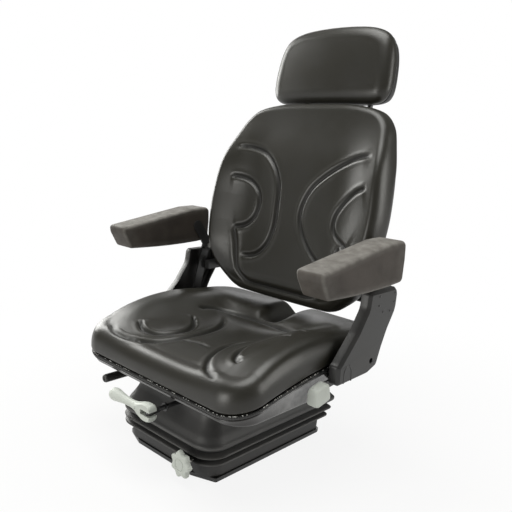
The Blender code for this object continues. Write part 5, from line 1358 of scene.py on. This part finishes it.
@dataclass
class ArmRests:
    """The two foam-skinned pads with their bowed undersides."""

    edge: float = 0.0075
    bow: float = 0.004
    swell: float = 0.007
    rub_width: float = 0.006
    top_painted_light: float = 0.75

    def outline(self, low: Vector, high: Vector) -> Array:
        """Draw a pad's side view between its solid's corners.

        Args:
            low: the lower corner.
            high: the upper corner.

        Returns:
            The outline's (y, z) points.
        """
        front, rear = low.y - 0.0040, high.y + 0.0005
        bottom, top = low.z + self.bow, high.z + 0.0035
        length = rear - front
        points = [(front + 0.023, bottom, 0.010)]
        for step in range(1, 6):
            share = step / 6
            drop = self.bow * math.sin(math.pi * share)
            points.append((front + 0.023 + (length - 0.028) * share, bottom - drop, 0.0))
        points += [(rear - 0.004, bottom + 0.001, 0.012), (rear, bottom + 0.050, 0.020),
                   (rear - 0.001, top, 0.014), (rear - length * 0.22, top - 0.0012, 0.030),
                   (front, bottom + 0.053, 0.010), (front + 0.003, bottom + 0.036, 0.020)]
        return resample(rounded(points, 8), 220, True)

    def build(self) -> None:
        """Make both pads."""
        for word, body, side in (("left", Body.ARMREST_LEFT, 1.0), ("right", Body.ARMREST_RIGHT, -1.0)):
            low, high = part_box("armrest_pad_" + word)
            inner, outer = (low.x - self.swell, high.x) if side > 0 else (high.x + self.swell, low.x)
            outline = self.outline(low, high)
            pad = rounded_slab("armrest_cover_" + word, outline, inner, outer, self.edge, FOAM_SKIN, 7, 0.0008)
            places = points_of(pad)
            across = np.minimum(abs(places[:, 0] - inner), abs(places[:, 0] - outer))
            rim = distance_to(outline, places[:, 1:])[0]
            edge_rub = np.exp(-(across / self.rub_width) ** 2) * np.exp(-(rim / self.rub_width) ** 2)
            # Rubbed edges wear paler; faces turned upwards take a painted highlight, strongest on the top.
            facing = np.array([vertex.normal.z for vertex in pad.data.vertices])
            store(pad, -edge_rub - self.top_painted_light * eased((facing - 0.5) / 0.45))
            settle(pad, body, "foam_skin", "armrest_pad_" + word)


@dataclass
class Brackets:
    """The steel brackets behind the side covers, which carry the recliner."""

    lower_edge: float = 0.2045
    cleared_from: tuple[float, float, float] = (-0.40, -0.10, 0.100)
    cleared_to: tuple[float, float] = (0.40, 0.300)
    foot_low: tuple[float, float, float] = (0.2555, 0.045, 0.2045)
    foot_high: tuple[float, float, float] = (0.2735, 0.150, 0.2085)

    def build(self, nodes: Mapping[str, bpy.types.Object]) -> None:
        """Make both from their solids, with a short foot on the pan's wall, hidden by the cover.

        Args:
            nodes: the frame's solids by name.
        """
        for word, side in SIDES:
            shape = bmesh.new()
            shape.from_mesh(nodes["recliner_bracket_" + word].data)
            bmesh.ops.remove_doubles(shape, verts=shape.verts, dist=0.00001)
            bracket = piece_from(shape, "recliner_bracket_plate_" + word, BLACK_PAINT, 30.0)
            cut(bracket, box_tool(self.cleared_from, (*self.cleared_to, self.lower_edge)))
            mirror = Vector((side, 1.0, 1.0))
            foot = box_tool(Vector(self.foot_low) * mirror, Vector(self.foot_high) * mirror)
            cut(bracket, foot, operation="UNION")
            settle(bracket, Body.SEAT, "painted_steel", "recliner_bracket_" + word)


@dataclass
class SideCovers:
    """The moulded covers over the recliner arms."""

    wall: float = 0.0025
    chamfer: float = 0.0055
    recline: tuple[float, float] = (0.134, 0.235)
    corners: Sequence[tuple[float, float, float]] = (
        (0.020, 0.2045, 0.010), (0.124, 0.2065, 0.014), (0.158, 0.218, 0.016), (0.174, 0.258, 0.05),
        (0.192, 0.294, 0.05), (0.219, 0.334, 0.05), (0.2225, 0.372, 0.03), (0.216, 0.385, 0.009),
        (0.117, 0.385, 0.009), (0.112, 0.350, 0.04), (0.080, 0.305, 0.05), (0.026, 0.250, 0.010),
        (0.020, 0.246, 0.008))
    dots: Sequence[tuple[float, float]] = ((0.150, 0.373), (0.209, 0.373), (0.149, 0.353), (0.208, 0.353),
                                           (0.166, 0.337), (0.192, 0.335))
    arch: Sequence[tuple[float, float]] = ((0.038, 0.2095), (0.039, 0.231), (0.046, 0.242), (0.056, 0.242),
                                           (0.063, 0.231), (0.064, 0.2095))
    bolt_radius: float = 0.0062

    def build(self) -> None:
        """Make both covers, with their dots, arches and bolt wells."""
        outline = resample(rounded(self.corners, 8), 260, True)
        normal = outward(outline)
        arch = smooth_line(self.arch, 60)
        bore = np.array([(0.0, 0.0), (self.bolt_radius, 0.0), (self.bolt_radius, 0.02), (0.0, 0.02)])
        for word, side in SIDES:
            low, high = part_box("side_cover_" + word)
            inner, outer = (low.x, high.x) if side > 0 else (high.x, low.x)
            rings = []
            for back, inset in ((1.0, 0.0), (0.30, 0.0), (0.26, 0.0006), (0.05, self.chamfer - 0.0008),
                                (0.0, self.chamfer + 0.0004), (0.0, self.chamfer + 0.003)):
                rings.append(at_x(outer + (inner - outer) * back, outline - normal * inset))
            skin = loft("side_cover_moulding_" + word, rings, MATT_PLASTIC, (False, True), 30.0)
            cover = thicken(skin, self.wall)
            start = Vector((outer - side * 0.012, *self.recline))
            cut(cover, turned("well", bore, start, Vector((side, 0, 0)), MATT_PLASTIC, 32))
            settle(cover, Body.BACK, "black_plastic", "side_cover_" + word)
            facing = np.tile([side, 0.0, 0.0], (len(self.dots), 1))
            studs = Studs("side_cover_dots_" + word, 0.0, (0.0052, 0.0052, 0.0030))
            dots = studs.along(at_x(outer, np.array(self.dots)), facing, BLACK_PAINT)
            settle(dots, Body.BACK, "black_plastic")
            line = at_x(outer - side * 0.0012, arch)
            rib = tube("side_cover_arch_" + word, line, 0.0022, MATT_PLASTIC, 10)
            settle(rib, Body.BACK, "black_plastic")


# Suspension

@dataclass
class Bellows:
    """The folded rubber bellows round the scissor suspension."""

    half_width: float = 0.146
    half_depth: float = 0.180
    travel_share: float = 0.422
    neck_foot: float = 0.100
    rear_dip: float = 0.30
    rear_corner: float = 0.013
    wall: float = 0.0018
    lips: tuple[float, float, float] = (0.0420, 0.0570, 0.0780)
    folds: tuple[float, float, float] = (0.0360, 0.0493, 0.0660)
    profile: Sequence[tuple[float, float, float]] = (
        (0.0086, -0.0030, -0.0030), (0.0200, -0.0026, -0.0020), (0.0340, -0.0020, 0.0000),
        (0.0370, 0.0020, 0.0050), (0.0405, 0.0106, 0.0146), (0.0420, 0.0120, 0.0160), (0.0440, 0.0112, 0.0158),
        (0.0485, 0.0018, 0.0108), (0.0501, 0.0016, 0.0108), (0.0552, 0.0112, 0.0265), (0.0570, 0.0130, 0.0290),
        (0.0592, 0.0122, 0.0285), (0.0650, 0.0028, 0.0226), (0.0668, 0.0028, 0.0230), (0.0732, 0.0106, 0.0375),
        (0.0760, 0.0128, 0.0402), (0.0795, 0.0130, 0.0410), (0.0820, 0.0124, 0.0402), (0.0870, 0.0086, 0.0360),
        (0.0980, 0.0030, 0.0260), (0.1100, -0.0050, 0.0130), (0.1240, -0.0130, 0.0020),
        (0.1360, -0.0170, -0.0030), (0.1468, -0.0188, -0.0060))

    def ring(self, reach: float, behind: float, count: int) -> Array:
        """Draw the section at one height.

        Args:
            reach: how far it stands past the base in front and at the sides.
            behind: the same, behind.
            count: how many points to return.

        Returns:
            The section's points.
        """
        corner = 0.030 + (reach + 0.019) / 0.032 * 0.018
        x, front, rear = self.half_width + reach, -self.half_depth - reach, self.half_depth + behind
        corners = [(x, front, corner), (x, rear, self.rear_corner), (-x, rear, self.rear_corner),
                   (-x, front, corner)]
        return started(rounded(corners, 12), (x, 0.0), count)

    def build(self) -> None:
        """Make the bellows, its rear rim low enough for the rails to pass above it."""
        count = 300
        rings = []
        for z, reach, behind in smooth_line(self.profile, 90):
            rings.append(np.column_stack([self.ring(reach, behind, count), np.full(count, z)]))
        skin = loft("bellows_skin", rings, RUBBER, (False, False), 70.0)
        for vertex in skin.data.vertices:
            above = max(0.0, vertex.co.z - self.neck_foot)
            vertex.co.z -= self.rear_dip * above * float(eased((vertex.co.y - 0.125) / 0.035))
        heights = points_of(skin)[:, 2]
        # Fold valleys take painted shade, and the lips a paler tone.
        crease = np.zeros(len(heights))
        for lip, fold in zip(self.lips, self.folds):
            crease += np.exp(-((heights - fold) / 0.0028) ** 2) - np.exp(-((heights - lip) / 0.0022) ** 2)
        store(skin, crease)
        thicken(skin, self.wall)
        settle(skin, Body.BASE, "rubber", "bellows")
        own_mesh(skin)


@dataclass
class Springs:
    """The two upright coil springs between the frames."""

    turns: float = 6.0
    wire: float = 0.0021
    travel_share: float = 0.352

    def build(self) -> None:
        """Make both springs."""
        for word in ("left", "right"):
            low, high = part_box("coil_spring_" + word)
            centre = (low + high) / 2
            radius = (high.x - low.x) / 2 - self.wire
            share = np.linspace(0.0, 1.0, int(self.turns * 28) + 1)
            climb = np.clip((share - 0.11) / 0.78, 0.0, 1.0)
            angle = FULL_TURN * self.turns * share
            bottom, top = low.z + self.wire, high.z - self.wire
            line = np.column_stack([centre.x + radius * np.cos(angle), centre.y + radius * np.sin(angle),
                                    bottom + (top - bottom) * climb])
            spring = tube("coil_spring_wire_" + word, line, self.wire, ZINC, 12)
            settle(spring, Body.BASE, "zinc_steel", "coil_spring_" + word)
            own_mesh(spring)


# Controls

@dataclass
class Controls:
    """The grey star knob, crank handle and recliner paddle, and the black grip of the rail lever."""

    lobes: int = 7
    knob_radius: float = 0.029
    fork_half: float = 0.010
    tang_half: float = 0.0050
    lobe_depth: float = 0.0058
    paddle_slope: float = math.radians(12)
    paddle_half: tuple[float, float] = (0.0255, 0.0195)
    handle_profile: Sequence[tuple[float, float]] = (
        (0.0138, 0.1195), (0.0136, 0.112), (0.0118, 0.100), (0.0094, 0.082), (0.0083, 0.064), (0.0086, 0.052),
        (0.0105, 0.038), (0.0150, 0.024), (0.0185, 0.012), (0.0190, 0.002), (0.0182, -0.006), (0.0140, -0.0125),
        (0.0, -0.0138))

    def build(self) -> None:
        """Make each control."""
        self._knob()
        self._handle()
        self._paddle()
        self._grip()

    def _knob(self) -> None:
        """Make the lobed knob with its raised centre ring."""
        low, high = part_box("star_knob")
        centre = Vector(((low.x + high.x) / 2, low.y, (low.z + high.z) / 2))
        centre.x = high.x - self.knob_radius
        depth = 0.012
        steps = self.lobes * 24
        angle = np.linspace(0.0, FULL_TURN, steps, endpoint=False)
        lobed = self.knob_radius - self.lobe_depth * (0.5 - 0.5 * np.cos(self.lobes * angle)) ** 0.8
        rows = [(lobed - inset, back) for back, inset in (
            (depth, 0.003), (depth - 0.0008, 0.001), (depth - 0.003, 0.0), (0.004, 0.0), (0.0016, 0.0009),
            (0.0004, 0.0026), (0.0, 0.0050))]
        rows += [(0.0135, 0.0), (0.0125, 0.0012), (0.0112, 0.0012), (0.0102, 0.0002), (0.004, 0.0002)]
        rings = [np.column_stack([centre.x + radius * np.cos(angle), np.full(steps, centre.y + back),
                                  centre.z + radius * np.sin(angle)]) for radius, back in rows]
        knob = loft("star_knob_moulding", rings, GREY_PLASTIC)
        settle(knob, Body.KNOB, "grey_plastic", "star_knob")
        reach = high.y - low.y - depth
        hub = turned("star_knob_hub", np.array([(0.0, 0.0), (0.0125, 0.0), (0.0118, reach), (0.0, reach)]),
                     Vector((centre.x, low.y + depth, centre.z)), Vector((0, 1, 0)), GREY_PLASTIC, 36)
        settle(hub, Body.KNOB, "grey_plastic")

    def _handle(self) -> None:
        """Make the flared handle with its fork."""
        low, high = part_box("crank_handle")
        z = (low.z + high.z) / 2
        fold = Vector((high.x - 0.014, (low.y + high.y) / 2, z))
        far = fold.x - low.x
        tip = [(0.0, far), (0.0060, far - 0.0004), (0.0112, far - 0.0032)]
        profile = smooth_line([*tip, *self.handle_profile], 64)
        profile[0, 0] = profile[-1, 0] = 0.0
        handle = turned("crank_handle_moulding", profile, fold, Vector((-1, 0, 0)), GREY_PLASTIC, 56)
        tools = []
        for face in (1, -1):
            tools.append(box_tool((fold.x - 0.036, fold.y + face * self.fork_half, z - 0.03),
                                  (fold.x + 0.03, fold.y + face * 0.03, z + 0.03)))
        tools.append(box_tool((fold.x - 0.016, fold.y - 0.02, z - self.tang_half),
                              (fold.x + 0.03, fold.y + 0.02, z + self.tang_half)))
        cut(handle, *tools)
        settle(handle, Body.CRANK_GRIP, "grey_plastic", "crank_handle")

    def _paddle(self) -> None:
        """Make the recliner's thick paddle."""
        low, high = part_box("recliner_paddle")
        middle = (low + high) / 2
        half, tall = self.paddle_half
        turn = Matrix.Rotation(self.paddle_slope, 2)
        corners = []
        for u, v, radius in ((-half, -tall * 0.62, 0.012), (-half * 0.55, -tall, 0.012), (half, -tall, 0.008),
                             (half, tall, 0.010), (-half * 0.7, tall, 0.014)):
            spot = turn @ Vector((u, v))
            corners.append((middle.y + spot.x, middle.z + spot.y, radius))
        outline = resample(rounded(corners, 10), 160, True)
        paddle = rounded_slab("recliner_paddle_moulding", outline, low.x + 0.0040, high.x, 0.0042,
                              GREY_PLASTIC, dome=0.0006)
        settle(paddle, Body.RECLINER_RELEASE, "grey_plastic", "recliner_paddle")

    def _grip(self) -> None:
        """Make the round grip of the rail lever."""
        low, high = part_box("rail_lever_grip")
        centre = Vector(((low.x + high.x) / 2, low.y, (low.z + high.z) / 2))
        radius, length = (high.x - low.x) / 2, high.y - low.y
        profile = np.array([(0.0, 0.0022), (0.0040, 0.0022), (0.0052, 0.0004), (0.0078, 0.0),
                            (radius - 0.0006, 0.0014), (radius, 0.0035), (radius, length - 0.002),
                            (radius - 0.001, length - 0.0004), (0.0052, length), (0.0052, length - 0.010),
                            (0.0, length - 0.010)])
        grip = turned("rail_lever_sleeve", profile, centre, Vector((0, 1, 0)), MATT_PLASTIC, 40)
        settle(grip, Body.RAIL_RELEASE, "black_plastic", "rail_lever_grip")


def box_tool(low: Sequence[float], high: Sequence[float]) -> bpy.types.Object:
    """Make a working block to cut or weld with.

    Args:
        low: one corner.
        high: the corner opposite.

    Returns:
        The block.
    """
    low, high = Vector(low), Vector(high)
    size = high - low
    shape = bmesh.new()
    bmesh.ops.create_cube(shape, size=1.0)
    scale = Matrix.Diagonal((abs(size.x), abs(size.y), abs(size.z), 1.0))
    matrix = Matrix.Translation((low + high) / 2) @ scale
    bmesh.ops.transform(shape, matrix=matrix, verts=shape.verts)
    return piece_from(shape, "tool", MATT_PLASTIC)


# Studio

@dataclass
class Studio:
    """The camera at the photograph's angle, the pale floor and the soft lamps."""

    eye: Vector = Vector((0.970, -0.942, 0.696))
    target: Vector = Vector((0.003, 0.079, 0.418))
    lens: float = 43.28
    sensor: float = 36.0
    roll: float = math.radians(2.57)
    aim: Vector = Vector((0, 0.05, 0.45))
    floor_radius: float = 30.0
    floor_tone: float = 0.60
    mirrored_share: float = 0.62
    near: tuple[float, float] = (0.35, 0.88)
    far: tuple[float, float] = (1.3, 1.0)
    soft_tone: tuple[float, float, float, float] = (1.0, 1.0, 0.96, 1.0)
    soft_strength: float = 0.22

    def build(self) -> None:
        """Set camera, floor, world and lamps."""
        self._camera()
        self._floor()
        self._world()
        for name, place, size, power, colour in (
                ("right_softbox", (2.4, 1.2, 1.2), (1.1, 1.8), 30.0, (1.0, 0.99, 0.95)),
                ("top_softbox", (0.0, -0.1, 2.7), (1.7, 1.7), 56.0, (1.0, 1.0, 0.97)),
                ("left_softbox", (-2.5, 0.1, 1.35), (1.1, 2.1), 62.0, (1.0, 1.0, 0.97)),
                ("front_softbox", (-0.2, -2.7, 0.55), (1.2, 1.1), 30.0, (1.0, 0.99, 0.95)),
                ("rear_softbox", (-1.7, 2.0, 1.5), (1.4, 1.2), 10.0, (1.0, 1.0, 1.0))):
            self._lamp(name, Vector(place), size, power, colour)

    def _camera(self) -> None:
        """Place the camera."""
        data = bpy.data.cameras.new("camera")
        data.lens = self.lens
        data.sensor_width = self.sensor
        camera = put("camera", data)
        forward = (self.target - self.eye).normalized()
        level = forward.cross(Vector((0, 0, 1))).normalized()
        upright = level.cross(forward)
        right = level * math.cos(self.roll) + upright * math.sin(self.roll)
        up = upright * math.cos(self.roll) - level * math.sin(self.roll)
        turn = Matrix((right, up, -forward)).transposed().to_4x4()
        camera.matrix_world = Matrix.Translation(self.eye) @ turn
        bpy.context.scene.camera = camera

    def _lamp(self, name: str, place: Vector, size: tuple[float, float], power: float,
              colour: Colour) -> None:
        """Hang one rectangular soft lamp that faces the seat.

        Args:
            name: the lamp's name.
            place: where it hangs.
            size: its width and height.
            power: its power in watts.
            colour: its colour.
        """
        data = bpy.data.lights.new(name, "AREA")
        data.shape = "RECTANGLE"
        data.size, data.size_y = size
        data.energy = power
        data.color = colour
        lamp = put(name, data)
        lamp.location = place
        lamp.rotation_euler = (self.aim - place).to_track_quat("-Z", "Y").to_euler()

    def _floor(self) -> None:
        """Lay the pale floor, which shows nearly white and keeps the seat's shadow."""
        shape = bmesh.new()
        bmesh.ops.create_circle(shape, cap_ends=True, segments=96, radius=self.floor_radius)
        mesh = bpy.data.meshes.new("floor")
        shape.to_mesh(mesh)
        shape.free()
        floor = put("floor", mesh)
        floor.location.z = -0.0005
        made = bpy.data.materials.new("pale_floor")
        graph = Graph(made)
        graph.shader.inputs["Base Color"].default_value = (*[self.floor_tone] * 3, 1.0)
        graph.shader.inputs["Roughness"].default_value = 0.8
        paths = graph.node("ShaderNodeLightPath", None, None, "Is Camera Ray")
        glossy = Wire(graph, paths.socket.node.outputs["Is Glossy Ray"])
        rays = paths + glossy * self.mirrored_share
        away = graph.node("ShaderNodeVectorMath", {"operation": "LENGTH"},
                          {0: graph.node("ShaderNodeTexCoord", None, None, "Object")}, "Value")
        whole = graph.node("ShaderNodeMapRange", {"interpolation_type": "SMOOTHSTEP"},
                           {"Value": away, "From Min": self.near[0], "From Max": self.far[0],
                            "To Min": self.near[1], "To Max": self.far[1]})
        shine = graph.node("ShaderNodeEmission", None, {"Color": (1.0, 1.0, 1.0, 1.0), "Strength": 1.0})
        ends = graph.tree.nodes["Material Output"]
        blend = graph.node("ShaderNodeMixShader", None,
                           {0: rays * whole, 1: Wire(graph, graph.shader.outputs[0]), 2: shine})
        graph.tree.links.new(blend.socket, ends.inputs["Surface"])
        mesh.materials.append(made)

    def _world(self) -> None:
        """Light the surroundings softly, and show them white."""
        world = bpy.data.worlds.new("studio")
        bpy.context.scene.world = world
        world.use_nodes = True
        tree = world.node_tree
        tree.nodes.clear()
        rays = tree.nodes.new("ShaderNodeLightPath")
        seen, soft = tree.nodes.new("ShaderNodeBackground"), tree.nodes.new("ShaderNodeBackground")
        seen.inputs["Color"].default_value = (1.0, 1.0, 1.0, 1.0)
        soft.inputs["Color"].default_value = self.soft_tone
        soft.inputs["Strength"].default_value = self.soft_strength
        blend, end = tree.nodes.new("ShaderNodeMixShader"), tree.nodes.new("ShaderNodeOutputWorld")
        tree.links.new(rays.outputs["Is Camera Ray"], blend.inputs[0])
        tree.links.new(soft.outputs[0], blend.inputs[1])
        tree.links.new(seen.outputs[0], blend.inputs[2])
        tree.links.new(blend.outputs[0], end.inputs["Surface"])


SLOT_FINISHES: Mapping[str, Finish] = {
    "black_vinyl": VINYL, "black_plastic": MATT_PLASTIC, "gloss_black": GLOSS_PLASTIC, "rubber": RUBBER,
    "foam_skin": FOAM_SKIN, "grey_plastic": GREY_PLASTIC, "painted_steel": BLACK_PAINT, "zinc_steel": ZINC,
    "nylon": NYLON}


def dress_nodes(nodes: Mapping[str, bpy.types.Object]) -> None:
    """Give each solid that stays in view the finish of its material slot.

    Args:
        nodes: the frame's solids by name.
    """
    for name, node in nodes.items():
        for place in node.material_slots:
            wanted = next((finish for slot, finish in SLOT_FINISHES.items()
                           if place.material and place.material.name.startswith(slot)), BLACK_PAINT)
            place.material = wanted.material()
        log.debug("%s dressed", name)


def main() -> None:
    """Build every piece of the seat in order, then the studio."""
    logging.basicConfig(level=logging.INFO, format="%(message)s")
    bpy.context.scene.view_settings.view_transform = "Standard"
    dress_nodes(frame["nodes"])
    shape = SeatShape()
    plane = BackPlane()
    SeatCushion(shape).build()
    SeatPan(shape).build()
    BackRest(plane).build()
    HeadRest(plane).build()
    ArmRests().build()
    Brackets().build(frame["nodes"])
    SideCovers().build()
    Bellows().build()
    Springs().build()
    Controls().build()
    Studio().build()


if __name__ == "__main__":
    main()
